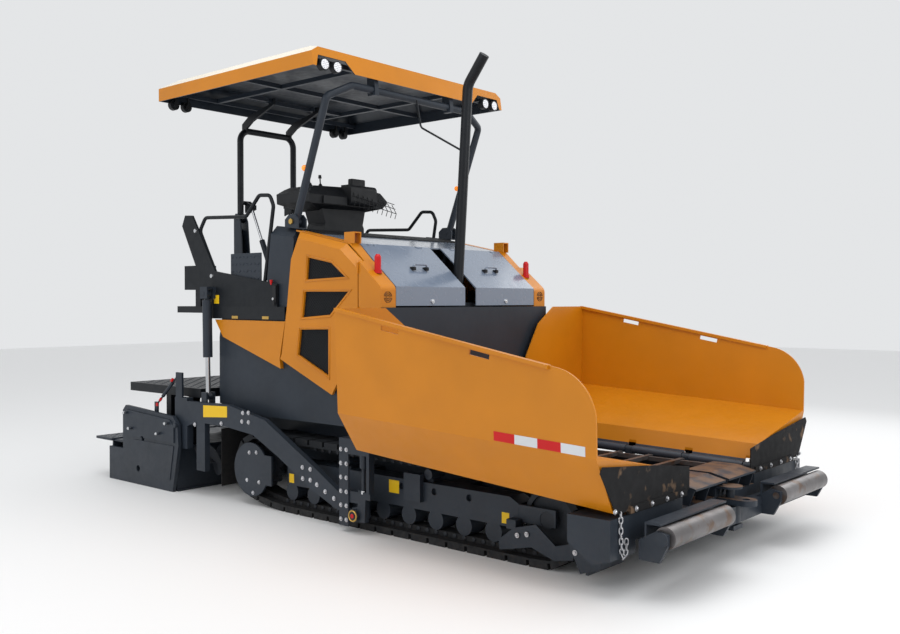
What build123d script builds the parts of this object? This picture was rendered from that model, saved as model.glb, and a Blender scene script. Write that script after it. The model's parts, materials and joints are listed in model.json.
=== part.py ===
from build123d import *
import os
from math import atan2, cos, hypot, pi, sin

os.makedirs("parts", exist_ok=True)

# Machine axes: X forward to the hopper, Y to the left, Z up. Lengths are in millimetres.
# While modelling, X is counted from the middle of the track's ground contact.

# Clearances
SEAT_GAP = 0.3
PIN_GAP = 0.3
SHEET = 8.0
RAIL_R = 17.0

# Overall places along the machine
CHASSIS_REAR_X = -2330.0
HOOD_FRONT_X = -130.0
HOPPER_REAR_X = -60.0
HOPPER_FRONT_X = 2180.0
WALKWAY_REAR_X = -4120.0
BODY_HALF = 1110.0
FRAME_HALF = 760.0
FRAME_PLATE = 30.0

# Tracks
TRACK_OUTER_Y = 1155.0
TRACK_WIDTH = 305.0
IDLER_X = 1440.0
IDLER_R = 320.0
SPROCKET_X = -1640.0
SPROCKET_Z = 350.0
SPROCKET_R = 300.0
REAR_ROLLER_X = -1330.0
REAR_ROLLER_R = 170.0
SHOE_COUNT = 44
PAD_DEPTH = 42.0
PLATE_DEPTH = 14.0
LINK_DEPTH = 95.0
LINK_WIDTH = 130.0
RAIL_POINTS = 3
PAD_SHARE = 0.86
LOOP_GAP = 12.0
ROLLER_R = 75.0
ROLLER_PITCH = 276.0
ROLLER_COUNT = 9
ROLLER_FIRST_X = -1235.0
TRACK_FRAME_HALF_WIDTH = 85.0
TRACK_FRAME_Z0 = 225.0
TRACK_FRAME_Z1 = 440.0
CARRIER_R = 40.0
GUARD_Y = -1163.0
GUARD_THICK = 12.0
FRAME_HOLE_X = -950.0
FRAME_HOLE_PITCH = 340.0
FRAME_HOLE_COUNT = 6
FRAME_HOLE_R = 26.0
FRAME_STEP_X = 130.0

# Hopper wings: the hinge line dips towards the front
HINGE_Y = 620.0
HINGE_REAR_Z = 600.0
HINGE_FRONT_Z = 545.0
HINGE_PIN_R = 20.0
HINGE_TUBE_R = 34.0
HINGE_LUG = 60.0
HINGE_LUG_COUNT = 5
WING_SHEET = 14.0
WING_TOP_Y = 1665.0
WING_CREASE_Y = 1630.0
WING_SKIRT_Y = 1440.0
WING_FLOOR_Y = 700.0
WING_TOP_REAR_Z = 1765.0
WING_TOP_FRONT_Z = 1395.0
WING_CREASE_REAR_Z = 985.0
WING_CREASE_FRONT_Z = 880.0
WING_SKIRT_REAR_Z = 690.0
WING_SKIRT_FRONT_Z = 530.0
WING_FLOOR_REAR_Z = 775.0
WING_FLOOR_FRONT_Z = 705.0
WING_CORNER_R = 330.0
WING_RIM = 22.0

# Front frame, push rollers and tow eye
FRONT_BEAM_X0 = 1930.0
FRONT_BEAM_Z0 = 330.0
FRONT_BEAM_Z1 = 500.0
FRONT_BEAM_HALF = 1500.0
PUSH_ROLLER_X = 2430.0
PUSH_ROLLER_Z = 390.0
PUSH_ROLLER_R = 70.0
PUSH_ROLLER_Y0 = 440.0
PUSH_ROLLER_Y1 = 1270.0
PUSH_SHAFT_R = 25.0
PUSH_PIVOT_X = 2262.0
PUSH_PIVOT_R = 30.0
TOW_EYE_X = 2380.0
TOW_EYE_R = 28.0
TOW_EYE_PLATE_Z = 400.0
TOW_EYE_THICK = 40.0
PIVOT_PLATE_Z = 504.0
PIVOT_PLATE_R = 85.0
NOSE_Z = 575.0
NOSE_Y0 = 28.0
NOSE_Y1 = 490.0

MUDFLAP_X = -2160.0

# Tow arms and tow points
TOW_X = -225.0
TOW_Z = 145.0
ARM_Y0 = 1190.0
ARM_Y1 = 1245.0
TOW_PIN_R = 28.0
LINK_X = -2645.0
LINK_Z = 1135.0
BRACE_X = -3087.0
CHANNEL_X = -2345.0
TOWER_Y1 = 1310.0

# Screed
SCREED_FRONT_X = -2730.0
SCREED_REAR_X = -3300.0
SCREED_HALF = 1245.0
COVER_REAR_X = -3700.0
COVER_FRONT_X = -2480.0
EXT_FRONT_X = -3320.0
EXT_REAR_X = -3860.0
GATE_Y0 = 1262.0
GATE_THICK = 35.0
GATE_PINS = ((-3414, 551), (-2921, 542), (-2774, 652), (-3499, 700))
GUIDE_R = 50.0
GUIDE_RIGHT_X = -3375.0
GUIDE_LEFT_X = -3510.0
GUIDE_Z = 560.0

# Augers
AUGER_X = -2510.0
AUGER_Z = 300.0
AUGER_R = 150.0
AUGER_SHAFT_R = 38.0
AUGER_PITCH = 300.0
AUGER_Y0 = 52.0
AUGER_CASE_HALF = 65.0
AUGER_Y1 = 1155.0
AUGER_FLIGHT = 12.0

# Screed lift cylinders
LIFT_Y = 1165.0
LIFT_TOP_X = -2350.0
LIFT_TOP_Z = 1880.0
LIFT_EYE_X = -2335.0
LIFT_EYE_Z = 930.0
LIFT_BARREL_R = 44.0
LIFT_ROD_R = 23.0
LIFT_BARREL_END_Z = 1290.0
LIFT_EYE_PLAY = 8.0

# Superstructure
FRAME_TOP_Z = 1000.0
PAN_TOP_Z = 404.0
SLAT_COUNT = 15
CHAIN_TURN_LINKS = 6
ENGINE_TOP_Z = 1800.0
TANK_Z0 = 785.0
TANK_Y = 1070.0
DECK_Z0 = 1650.0
DECK_Z1 = 1762.0
DECK_FRONT_X = -1285.0
DECK_REAR_X = -2960.0
HOOD_REAR_X = -1285.0
HOOD_CREASE_X = -540.0
HOOD_CREASE_Z = 2290.0
LID_PIVOT_X = -548.0
LID_PIVOT_Z = 2281.0
HOOD_HINGE_Y = (230.0, 820.0)
HOOD_REAR_Z = 2440.0
HOOD_EDGE_Z = 1925.0
FASCIA_Z0 = 1767.0
DOOR_PIVOT_X = -385.0
DOOR_PIVOT_Y = 1118.0
DOOR_HINGE_Z = (1720.0, 2080.0)
PILLAR_Y0 = 940.0
COLUMN_Y0 = 950.0
COLUMN_Y1 = 1085.0
COLUMN_CHAMFER = 75.0
COLUMN_TOP_X = -1232.0
COLUMN_TOP_Z = 2440.0
COLUMN_SLOPE = 0.13
DOOR_FLANGE = 60.0
DOOR_CHAMFER = 52.0
LIFT_LOOP_Z = 2380.0
HOOD_SLOT_HALF = 70.0

# Canopy
ROOF_REAR_X = -3000.0
ROOF_FRONT_X = -800.0
ROOF_HALF = 1250.0
ROOF_EDGE_Z0 = 3735.0
ROOF_EDGE_Z1 = 3855.0
ROOF_CROWN_Z = 3950.0
ROOF_SKIN = 12.0
POST_PIVOT_X = -1260.0
POST_PIVOT_Z = 2500.0
POST_TOP_X = -820.0
POST_TOP_Z = 3655.0
POST_Y = 1010.0
POST_R = 33.0
REAR_PIVOT_X = -2920.0
REAR_PIVOT_Z = 2665.0
REAR_HALF = 350.0
REAR_TUBE_R = 32.0
REAR_TOP_Z = 3570.0

LAMP_R = 50.0
BEACON_R = 26.0
POST_BEND_X = -866.0
POST_BEND_Z = 3535.0
CANOPY_LOW_X = -2440.0
CANOPY_LOW_Z = 1920.0
CANOPY_HIGH_X = -2850.0
CANOPY_HIGH_Z = 2770.0
CYLINDER_EAR = 34.0
CYLINDER_INSET = 90.0

# Exhaust stack
STACK_BASE_X = -285.0
STACK_TOP_X = -165.0
STACK_BASE_Z = 1840.0
STACK_TOP_Z = 3690.0
STACK_R = 45.0


def block(x0, x1, y0, y1, z0, z1):
    """A box between two corners."""
    return Pos((x0 + x1) / 2, (y0 + y1) / 2, (z0 + z1) / 2) * Box(x1 - x0, y1 - y0, z1 - z0)


def side_plate(points, y0, y1):
    """An outline in the XZ plane, extruded from y0 to y1."""
    plane = Plane((0, y0, 0), x_dir=(1, 0, 0), z_dir=(0, -1, 0))
    return extrude(plane * make_face(Polyline(*points, close=True)), amount=y1 - y0, dir=(0, 1, 0))


def cross_plate(points, x0, x1):
    """An outline in the YZ plane, extruded from x0 to x1."""
    plane = Plane((x0, 0, 0), x_dir=(0, 1, 0), z_dir=(1, 0, 0))
    return extrude(plane * make_face(Polyline(*points, close=True)), amount=x1 - x0, dir=(1, 0, 0))


def rod(start, end, radius):
    """A round bar between two points."""
    start = Vector(*start)
    end = Vector(*end)
    return extrude(Plane(start, z_dir=end - start) * Circle(radius), amount=(end - start).length)


def bar_y(x, z, radius, y0, y1):
    """A round bar along Y."""
    return rod((x, y0, z), (x, y1, z), radius)


def bent_tube(points, radius, bend):
    """A round tube along straight runs joined by arcs."""
    path = FilletPolyline(*points, radius=bend)
    return sweep(Plane(path @ 0, z_dir=path % 0) * Circle(radius), path)


def other_side(shape):
    """The same shape on the machine's left side."""
    return mirror(shape, about=Plane.XZ)


def both_sides(shape):
    """The shape on the right and its twin on the left."""
    return Compound(children=[shape, other_side(shape)])


def group(*shapes):
    """Several solids that do not touch, kept in one node."""
    solids = []
    for shape in shapes:
        solids.extend(shape.solids())
    return Compound(children=solids)


def lerp(a, b, t):
    return a + (b - a) * t


# The outline of a track round its two end circles and the rear ground roller

def track_path(depth):
    """Straight runs and arcs of the loop at a depth below the pads' face."""
    circles = [
        (IDLER_X, IDLER_R, IDLER_R - depth),
        (REAR_ROLLER_X, REAR_ROLLER_R, REAR_ROLLER_R - depth),
        (SPROCKET_X, SPROCKET_Z, SPROCKET_R - depth),
    ]
    pieces = []
    count = len(circles)
    angles = []
    for i in range(count):
        a = circles[i]
        b = circles[(i + 1) % count]
        heading = atan2(b[1] - a[1], b[0] - a[0])
        tilt = atan2(b[2] - a[2], hypot(b[0] - a[0], b[1] - a[1]))
        angles.append(heading + pi / 2 + tilt)
    for i in range(count):
        a = circles[i]
        b = circles[(i + 1) % count]
        start_angle = angles[i - 1]
        end_angle = angles[i]
        while start_angle < end_angle:
            start_angle += 2 * pi
        pieces.append(("arc", a, start_angle, end_angle))
        pieces.append(("run", a, b, end_angle))
    return pieces


def path_point(pieces, share):
    """A point and the outward angle at a share of the loop's length."""
    lengths = []
    for piece in pieces:
        if piece[0] == "arc":
            lengths.append((piece[2] - piece[3]) * piece[1][2])
        else:
            a, b, angle = piece[1:]
            ax = a[0] + a[2] * cos(angle)
            az = a[1] + a[2] * sin(angle)
            bx = b[0] + b[2] * cos(angle)
            bz = b[1] + b[2] * sin(angle)
            lengths.append(hypot(bx - ax, bz - az))
    distance = share * sum(lengths)
    for piece, length in zip(pieces, lengths):
        if distance <= length:
            break
        distance -= length
    t = min(distance / length, 1.0)
    if piece[0] == "arc":
        angle = lerp(piece[2], piece[3], t)
        centre = piece[1]
        return centre[0] + centre[2] * cos(angle), centre[1] + centre[2] * sin(angle), angle
    a, b, angle = piece[1:]
    x = lerp(a[0] + a[2] * cos(angle), b[0] + b[2] * cos(angle), t)
    z = lerp(a[1] + a[2] * sin(angle), b[1] + b[2] * sin(angle), t)
    return x, z, angle


def make_track():
    """One closed loop with its shoes and link rails, on the right side."""
    pieces = track_path(0)
    outline = []
    for shoe in range(SHOE_COUNT):
        for share, depth in ((0.0, PAD_DEPTH), (1 - PAD_SHARE, PAD_DEPTH), (1 - PAD_SHARE, 0.0), (1.0, 0.0)):
            x, z, angle = path_point(pieces, (shoe + share) / SHOE_COUNT % 1.0)
            outline.append((x - depth * cos(angle), z - depth * sin(angle)))
    inner = []
    rail = []
    for shoe in range(SHOE_COUNT):
        x, z, angle = path_point(pieces, shoe / SHOE_COUNT)
        plate = PAD_DEPTH + PLATE_DEPTH
        inner.append((x - plate * cos(angle), z - plate * sin(angle)))
    for point in range(SHOE_COUNT * RAIL_POINTS):
        x, z, angle = path_point(pieces, point / (SHOE_COUNT * RAIL_POINTS))
        rail.append((x - LINK_DEPTH * cos(angle), z - LINK_DEPTH * sin(angle)))
    y1 = -TRACK_OUTER_Y + TRACK_WIDTH
    middle = -TRACK_OUTER_Y + TRACK_WIDTH / 2
    pads = side_plate(outline, -TRACK_OUTER_Y, y1) - side_plate(inner, -TRACK_OUTER_Y, y1)
    links = side_plate(outline, middle - LINK_WIDTH / 2, middle + LINK_WIDTH / 2)
    links -= side_plate(rail, middle - LINK_WIDTH / 2, middle + LINK_WIDTH / 2)
    return pads + links


def make_track_frame():
    """Side beam with ground rollers, carrier rollers and idler yoke, right side."""
    middle = -TRACK_OUTER_Y + TRACK_WIDTH / 2
    y0 = middle - TRACK_FRAME_HALF_WIDTH
    y1 = middle + TRACK_FRAME_HALF_WIDTH
    outline = [(-1290, 300), (-1275, TRACK_FRAME_Z0), (1130, TRACK_FRAME_Z0), (1200, 270),
               (1200, 400), (1120, TRACK_FRAME_Z1), (-1180, TRACK_FRAME_Z1), (-1290, 390)]
    frame = side_plate(outline, y0, y1)
    for i in range(ROLLER_COUNT):
        x = ROLLER_FIRST_X + i * ROLLER_PITCH
        frame += bar_y(x, LINK_DEPTH + ROLLER_R + SEAT_GAP, ROLLER_R, y0 + 5, y1 - 5)
    for x in (-520, 520):
        frame += block(x - 90, x + 90, y1 - 10, -FRAME_HALF, 290, 440)
    for x in (-560, 340):
        z = IDLER_R * 2 - LINK_DEPTH - CARRIER_R - 4
        frame += bar_y(x, z, CARRIER_R, y0 + 10, y1 - 10)
        frame += block(x - 25, x + 25, y0 + 40, y1 - 40, TRACK_FRAME_Z1 - 5, z)
    yoke = block(1160, IDLER_X + 70, middle - 84, middle - 60, 275, 395)
    yoke += block(1160, IDLER_X + 70, middle + 60, middle + 84, 275, 395)
    frame += yoke
    frame -= bar_y(IDLER_X, IDLER_R, 60 + PIN_GAP, middle - 100, middle + 100)
    for i in range(FRAME_HOLE_COUNT):
        x = FRAME_HOLE_X + i * FRAME_HOLE_PITCH
        frame -= bar_y(x, TRACK_FRAME_Z1 - 60, FRAME_HOLE_R, y0 - 1, y0 + 30)
    frame += block(FRAME_STEP_X, FRAME_STEP_X + 170, y0 - 38, y0 + 5, 290, TRACK_FRAME_Z1 + 60)
    guard = side_plate([(1090, 150), (1100, 80), (1370, 140), (1560, 80), (1710, 110), (1710, 220),
                        (1570, 180), (1410, 300), (1220, 250)], GUARD_Y - GUARD_THICK, GUARD_Y)
    guard += block(1150, 1230, GUARD_Y - 1, y0 + 5, TRACK_FRAME_Z0 + 10, 300)
    return frame + guard


def make_idler():
    """Front idler wheel with its rim and hub, right side."""
    middle = -TRACK_OUTER_Y + TRACK_WIDTH / 2
    radius = IDLER_R - LINK_DEPTH - LOOP_GAP
    wheel = bar_y(IDLER_X, IDLER_R, radius, middle - 45, middle + 45)
    wheel -= bar_y(IDLER_X, IDLER_R, radius - 35, middle - 46, middle - 20)
    wheel -= bar_y(IDLER_X, IDLER_R, radius - 35, middle + 20, middle + 46)
    wheel += bar_y(IDLER_X, IDLER_R, 60, middle - 80, middle + 80)
    return wheel


def make_sprocket():
    """Toothed drive wheel between the link rails, right side."""
    middle = -TRACK_OUTER_Y + TRACK_WIDTH / 2
    outer = SPROCKET_R - LINK_DEPTH - LOOP_GAP
    teeth = 13
    points = []
    for i in range(teeth):
        for share, radius in ((0.0, outer - 28), (0.3, outer), (0.55, outer), (0.85, outer - 28)):
            angle = 2 * pi * (i + share) / teeth
            points.append((SPROCKET_X + radius * cos(angle), SPROCKET_Z + radius * sin(angle)))
    return side_plate(points, middle - 22, middle + 22)


def make_final_drive():
    """Hub and flat-sided cover over the track drive, right side."""
    middle = -TRACK_OUTER_Y + TRACK_WIDTH / 2
    hub = bar_y(SPROCKET_X, SPROCKET_Z, 120, middle + 22 + SEAT_GAP, -FRAME_HALF)
    neck = bar_y(SPROCKET_X, SPROCKET_Z, 120, -TRACK_OUTER_Y - 12, middle - 22 - SEAT_GAP)
    cover = bar_y(SPROCKET_X - 40, 322, 237, -ARM_Y0 + 7, -TRACK_OUTER_Y - 10)
    cover &= block(-2000, -1395, -1300, -1100, 0, 700)
    lip = block(-1560, -1395, -ARM_Y0 + 7, -TRACK_OUTER_Y - 10, 205, 465)
    return group(hub, neck + cover + lip)


# Hopper wing: walls and floor lofted between a rear and a front section

def wing_section(x, t):
    """The wing's closed section at x, with t from 0 at the rear to 1 at the front."""
    crease_z = lerp(WING_CREASE_REAR_Z, WING_CREASE_FRONT_Z, t)
    skirt_z = lerp(WING_SKIRT_REAR_Z, WING_SKIRT_FRONT_Z, t)
    floor_z = lerp(WING_FLOOR_REAR_Z, WING_FLOOR_FRONT_Z, t)
    hinge_z = lerp(HINGE_REAR_Z, HINGE_FRONT_Z, t)
    top_z = WING_TOP_REAR_Z + 60
    points = [
        (-WING_TOP_Y, top_z),
        (-WING_CREASE_Y, crease_z),
        (-WING_SKIRT_Y, skirt_z),
        (-WING_SKIRT_Y + 60, skirt_z),
        (-WING_CREASE_Y + 100, crease_z - 70),
        (-WING_FLOOR_Y, floor_z - WING_SHEET),
        (-HINGE_Y - HINGE_TUBE_R + 8, hinge_z - 6),
        (-HINGE_Y - HINGE_TUBE_R + 8, hinge_z + 16),
        (-WING_FLOOR_Y, floor_z + 4),
        (-WING_CREASE_Y + WING_SHEET, crease_z + 10),
        (-WING_TOP_Y + WING_SHEET, top_z),
    ]
    plane = Plane((x, 0, 0), x_dir=(0, 1, 0), z_dir=(1, 0, 0))
    return plane * make_face(Polyline(*points, close=True))


def hinge_point(x):
    t = (x - 0.0) / HOPPER_FRONT_X
    return (x, -HINGE_Y, lerp(HINGE_REAR_Z, HINGE_FRONT_Z, t))


def make_wing():
    """Right hopper wing with its rear wall, rim bar, grip slots and hinge tubes."""
    shell = loft([wing_section(HOPPER_REAR_X, 0.0), wing_section(HOPPER_FRONT_X - 8, 1.0)], ruled=True)
    x0 = HOPPER_REAR_X - 30
    x1 = HOPPER_FRONT_X - 5
    outline = make_face(Polyline((x0, 300), (x1, 300), (x1, WING_TOP_FRONT_Z - 30),
                                 (x0, WING_TOP_REAR_Z), close=True))
    corner = outline.vertices().sort_by(Axis.X)[-2:].sort_by(Axis.Y)[-1]
    outline = fillet(corner, WING_CORNER_R)
    plane = Plane((0, -2000, 0), x_dir=(1, 0, 0), z_dir=(0, -1, 0))
    shell &= extrude(plane * outline, amount=1500, dir=(0, 1, 0))
    for x, z in ((500, 1612), (1300, 1470)):
        slot = Pos(x, -WING_TOP_Y, z) * Rot(0, 10, 0) * Box(170, 80, 34)
        shell -= slot
    rear = cross_plate([(-WING_TOP_Y + 4, WING_TOP_REAR_Z - 6), (-1140, WING_TOP_REAR_Z - 6), (-900, 1600),
                        (-705, 1300), (-690, WING_FLOOR_REAR_Z), (-WING_CREASE_Y + 10, WING_CREASE_REAR_Z)],
                       HOPPER_REAR_X, HOPPER_REAR_X + WING_SHEET)
    shell += rear
    slope = (WING_TOP_REAR_Z - WING_TOP_FRONT_Z + 30) / (x1 - x0)
    rear_z = WING_TOP_REAR_Z - slope * (HOPPER_REAR_X - x0)
    rim_end = x1 - WING_CORNER_R
    front_z = WING_TOP_REAR_Z - slope * (rim_end - x0)
    shell += side_plate([(HOPPER_REAR_X, rear_z + 3), (rim_end, front_z + 3), (rim_end, front_z - WING_RIM),
                         (HOPPER_REAR_X, rear_z - WING_RIM)], -WING_TOP_Y - 4, -WING_TOP_Y + 40)
    count = HINGE_LUG_COUNT
    span = HOPPER_FRONT_X - 120
    for i in range(count - 1):
        a = 60 + span * i / (count - 1) + HINGE_LUG / 2 + 4
        b = 60 + span * (i + 1) / (count - 1) - HINGE_LUG / 2 - 4
        tube = rod(hinge_point(a), hinge_point(b), HINGE_TUBE_R)
        shell += tube
    bore = rod(hinge_point(-100), hinge_point(HOPPER_FRONT_X + 50), HINGE_PIN_R + PIN_GAP)
    shell -= bore
    for i in range(count):
        middle = 60 + span * i / (count - 1)
        half = HINGE_LUG / 2 + 4
        shell -= block(middle - half, middle + half, -HINGE_Y - HINGE_TUBE_R - 12, -HINGE_Y + HINGE_TUBE_R + 10,
                       480, 660)
    return shell


def make_hinge_pins():
    """Fixed hinge pins with their lugs on the frame's top edge, right side."""
    count = HINGE_LUG_COUNT
    span = HOPPER_FRONT_X - 120
    pins = rod(hinge_point(60 - HINGE_LUG / 2), hinge_point(60 + span + HINGE_LUG / 2), HINGE_PIN_R)
    for i in range(count):
        middle = 60 + span * i / (count - 1)
        z = hinge_point(middle)[2]
        pins += block(middle - HINGE_LUG / 2, middle + HINGE_LUG / 2, -HINGE_Y - 30, -HINGE_Y + 30, 500, z)
        pins += rod(hinge_point(middle - HINGE_LUG / 2), hinge_point(middle + HINGE_LUG / 2), 30)
    return pins


def make_main_frame():
    """Side members, conveyor pan, tunnel roof and cross members."""
    outline = [(CHASSIS_REAR_X, 420), (CHASSIS_REAR_X, 1000), (HOOD_FRONT_X, 1000), (HOOD_FRONT_X, 500),
               (FRONT_BEAM_X0, 500), (FRONT_BEAM_X0, 300), (-300, 260), (-1900, 260)]
    side = side_plate(outline, -FRAME_HALF, -FRAME_HALF + FRAME_PLATE)
    frame = side + other_side(side)
    inner = FRAME_HALF - FRAME_PLATE
    frame += block(CHASSIS_REAR_X, FRONT_BEAM_X0, -inner, inner, PAN_TOP_Z - 12, PAN_TOP_Z)
    frame += block(CHASSIS_REAR_X, HOOD_FRONT_X, -inner, inner, 985, 1000)
    frame += block(CHASSIS_REAR_X, FRONT_BEAM_X0, -18, 18, PAN_TOP_Z, 500)
    for x in (-1700, -700, 500, 1500):
        frame += block(x - 50, x + 50, -inner, inner, 300, 392)
    return frame


def make_front_frame():
    """Front cross beam with end boxes, pivot lugs and tow eye."""
    beam = block(FRONT_BEAM_X0, HOPPER_FRONT_X + 8, -FRONT_BEAM_HALF, FRONT_BEAM_HALF,
                 FRONT_BEAM_Z0, FRONT_BEAM_Z1)
    beam -= block(FRONT_BEAM_X0 - 1, 2120, -580, 580, PAN_TOP_Z - 4, FRONT_BEAM_Z1 + 1)
    beam -= block(2119, HOPPER_FRONT_X + 10, -580, 580, 425, FRONT_BEAM_Z1 + 1)
    end = side_plate([(1880, 330), (1880, 500), (HOPPER_FRONT_X + 8, 500), (HOPPER_FRONT_X + 8, 250),
                      (2060, 210)], -FRONT_BEAM_HALF, -FRONT_BEAM_HALF + 300)
    beam += end + other_side(end)
    plate_z0 = TOW_EYE_PLATE_Z - TOW_EYE_THICK / 2
    plate_z1 = TOW_EYE_PLATE_Z + TOW_EYE_THICK / 2
    eye = block(HOPPER_FRONT_X, TOW_EYE_X, -75, 75, plate_z0, plate_z1)
    eye += Pos(TOW_EYE_X, 0, TOW_EYE_PLATE_Z) * Cylinder(75, TOW_EYE_THICK)
    eye -= Pos(TOW_EYE_X, 0, TOW_EYE_PLATE_Z) * Cylinder(TOW_EYE_R, TOW_EYE_THICK * 2)
    lower = block(HOPPER_FRONT_X - 40, PUSH_PIVOT_X + 60, -75, 75, 200, 232)
    lower += block(HOPPER_FRONT_X - 40, HOPPER_FRONT_X + 8, -75, 75, 200, FRONT_BEAM_Z0 + 10)
    beam += eye + lower
    beam += rod((PUSH_PIVOT_X, 0, 202), (PUSH_PIVOT_X, 0, PIVOT_PLATE_Z), PUSH_PIVOT_R)
    beam += block(2120, PUSH_PIVOT_X, -PIVOT_PLATE_R, PIVOT_PLATE_R, PIVOT_PLATE_Z - 16, PIVOT_PLATE_Z)
    beam += Pos(PUSH_PIVOT_X, 0, PIVOT_PLATE_Z - 8) * Cylinder(PIVOT_PLATE_R, 16)
    beam += block(2120, HOPPER_FRONT_X + 8, -PIVOT_PLATE_R, PIVOT_PLATE_R, 420, PIVOT_PLATE_Z - 10)
    nose = side_plate([(1900, NOSE_Z), (2100, NOSE_Z), (2240, NOSE_Z - 32), (2240, NOSE_Z - 46), (2100, NOSE_Z - 12),
                       (1900, NOSE_Z - 12)], -NOSE_Y1, -NOSE_Y0)
    for y in (-NOSE_Y1, -(NOSE_Y0 + NOSE_Y1) / 2, -NOSE_Y0 - 14):
        nose += side_plate([(2122, 420), (HOPPER_FRONT_X + 8, 420), (2230, NOSE_Z - 38), (2115, NOSE_Z - 8)], y, y + 14)
    beam += nose + other_side(nose)
    deflector = side_plate([(1750, 300), (1750, 250), (1840, 70), (1990, 125), (2000, 215), (1900, 335)],
                           -FRONT_BEAM_HALF + 210, -TRACK_OUTER_Y - 10)
    deflector += block(1880, 1900, -FRONT_BEAM_HALF + 210, -TRACK_OUTER_Y + TRACK_WIDTH, 70, 335)
    deflector += block(1880, FRONT_BEAM_X0 + 5, -1250, -TRACK_OUTER_Y + TRACK_WIDTH, 331, 345)
    beam += deflector + other_side(deflector)
    return beam


def make_roller_beam():
    """Swinging beam that carries the two push rollers."""
    z0 = 245
    z1 = TOW_EYE_PLATE_Z - TOW_EYE_THICK / 2 - 12
    end = PUSH_ROLLER_Y1 + 40
    outline = make_face(Polyline((PUSH_PIVOT_X - 45, -120), (PUSH_PIVOT_X + 10, -end), (PUSH_PIVOT_X + 60, -end),
                                 (PUSH_PIVOT_X + 60, end), (PUSH_PIVOT_X + 10, end), (PUSH_PIVOT_X - 45, 120),
                                 close=True))
    beam = extrude(Pos(0, 0, z0) * outline, amount=z1 - z0, dir=(0, 0, 1))
    beam += Pos(PUSH_PIVOT_X, 0, (z0 + z1) / 2) * Cylinder(70, z1 - z0)
    beam -= Pos(PUSH_PIVOT_X, 0, (z0 + z1) / 2) * Cylinder(PUSH_PIVOT_R + PIN_GAP, z1 - z0 + 20)
    for y in (-PUSH_ROLLER_Y1 - 40, -PUSH_ROLLER_Y0 + 5, PUSH_ROLLER_Y0 - 35, PUSH_ROLLER_Y1 + 10):
        ear = side_plate([(PUSH_PIVOT_X + 12, z0), (PUSH_PIVOT_X + 12, z1), (PUSH_ROLLER_X - 40, PUSH_ROLLER_Z + 45),
                          (PUSH_ROLLER_X + 35, PUSH_ROLLER_Z + 30), (PUSH_ROLLER_X + 35, PUSH_ROLLER_Z - 40),
                          (PUSH_ROLLER_X - 20, z0)], y, y + 30)
        beam += ear
    hole = bar_y(PUSH_ROLLER_X, PUSH_ROLLER_Z, PUSH_SHAFT_R + PIN_GAP, -1400, 1400)
    beam -= hole
    guard_z = PUSH_ROLLER_Z + PUSH_ROLLER_R + 8
    guard = side_plate([(PUSH_PIVOT_X + 50, z1 - 5), (PUSH_PIVOT_X + 50, guard_z + 12), (PUSH_ROLLER_X - 12, guard_z + 12),
                        (PUSH_ROLLER_X - 12, guard_z), (PUSH_PIVOT_X + 62, guard_z), (PUSH_PIVOT_X + 62, z1 - 5)],
                       -end, -PUSH_ROLLER_Y0 + 35)
    cap = bar_y(PUSH_ROLLER_X, PUSH_ROLLER_Z, PUSH_SHAFT_R + 18, -end - 12, -end)
    return beam + guard + other_side(guard) + cap + other_side(cap)


def make_push_roller():
    """Right push roller with its stub shafts."""
    y0 = -PUSH_ROLLER_Y1
    y1 = -PUSH_ROLLER_Y0
    drum = bar_y(PUSH_ROLLER_X, PUSH_ROLLER_Z, PUSH_ROLLER_R, y0, y1)
    return drum + bar_y(PUSH_ROLLER_X, PUSH_ROLLER_Z, PUSH_SHAFT_R, y0 - 38, y1 + 33)


def make_apron():
    """Rubber apron with its clamping bar across the right front of the hopper."""
    x0 = HOPPER_FRONT_X + 10
    flap = cross_plate([(-500, 700), (-500, 540), (-1440, 528), (-1625, 800), (-1600, 835), (-1000, 770)],
                       x0, x0 + SHEET)
    bar = block(x0 + SHEET, x0 + SHEET + 14, -1300, -560, 512, 556)
    foot = block(HOPPER_FRONT_X - 2, x0, -1300, -700, 500, 545)
    mudflap = block(MUDFLAP_X, MUDFLAP_X + 10, -TRACK_OUTER_Y + 5, -FRAME_HALF - SEAT_GAP, 110, 640)
    return group(flap + bar + foot, mudflap)


def make_conveyor():
    """Slat conveyor of the right half: two chains with cross slats, one fixed loop."""
    y0 = -560.0
    y1 = -60.0
    x0 = CHASSIS_REAR_X + 60
    x1 = 2100.0
    top = 560.0
    low = PAN_TOP_Z + SEAT_GAP
    radius = (top - low) / 2
    centre_z = (top + low) / 2

    def loop(shrink, a, b):
        outline = []
        for middle, turn in ((x1 - radius, -pi / 2), (x0 + radius, pi / 2)):
            for i in range(CHAIN_TURN_LINKS + 1):
                angle = turn + pi * i / CHAIN_TURN_LINKS
                outline.append((middle + (radius - shrink) * cos(angle), centre_z + (radius - shrink) * sin(angle)))
        return side_plate(outline, a, b)

    chain = None
    for y in (y0 + 60, y1 - 60):
        strand = loop(8, y - 18, y + 18) - loop(40, y - 20, y + 20)
        chain = strand if chain is None else chain + strand
    for i in range(SLAT_COUNT):
        x = lerp(x0 + radius, x1 - radius, (i + 0.5) / SLAT_COUNT)
        chain += block(x - 20, x + 20, y0, y1, top - 30, top)
        chain += block(x - 20, x + 20, y0, y1, low, low + 30)
    return chain


def make_back_wall():
    """Fixed wall behind the hopper with its raised lip."""
    x0 = HOOD_FRONT_X
    wall = cross_plate([(-1105, 1000), (-1105, 1762), (1105, 1762), (1105, 1000), (600, 640), (-600, 640)],
                       x0, x0 + 20)
    return wall - block(x0 - 1, x0 + 21, -580, 580, 600, 760)


def make_side_tank():
    """Lower side housing over the track, right side."""
    outline = [(-2290, 860), (-2290, 1480), (-2250, DECK_Z0), (-420, DECK_Z0), (-420, TANK_Z0),
               (-1600, TANK_Z0)]
    return side_plate(outline, -TANK_Y, -FRAME_HALF - 20)


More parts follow.
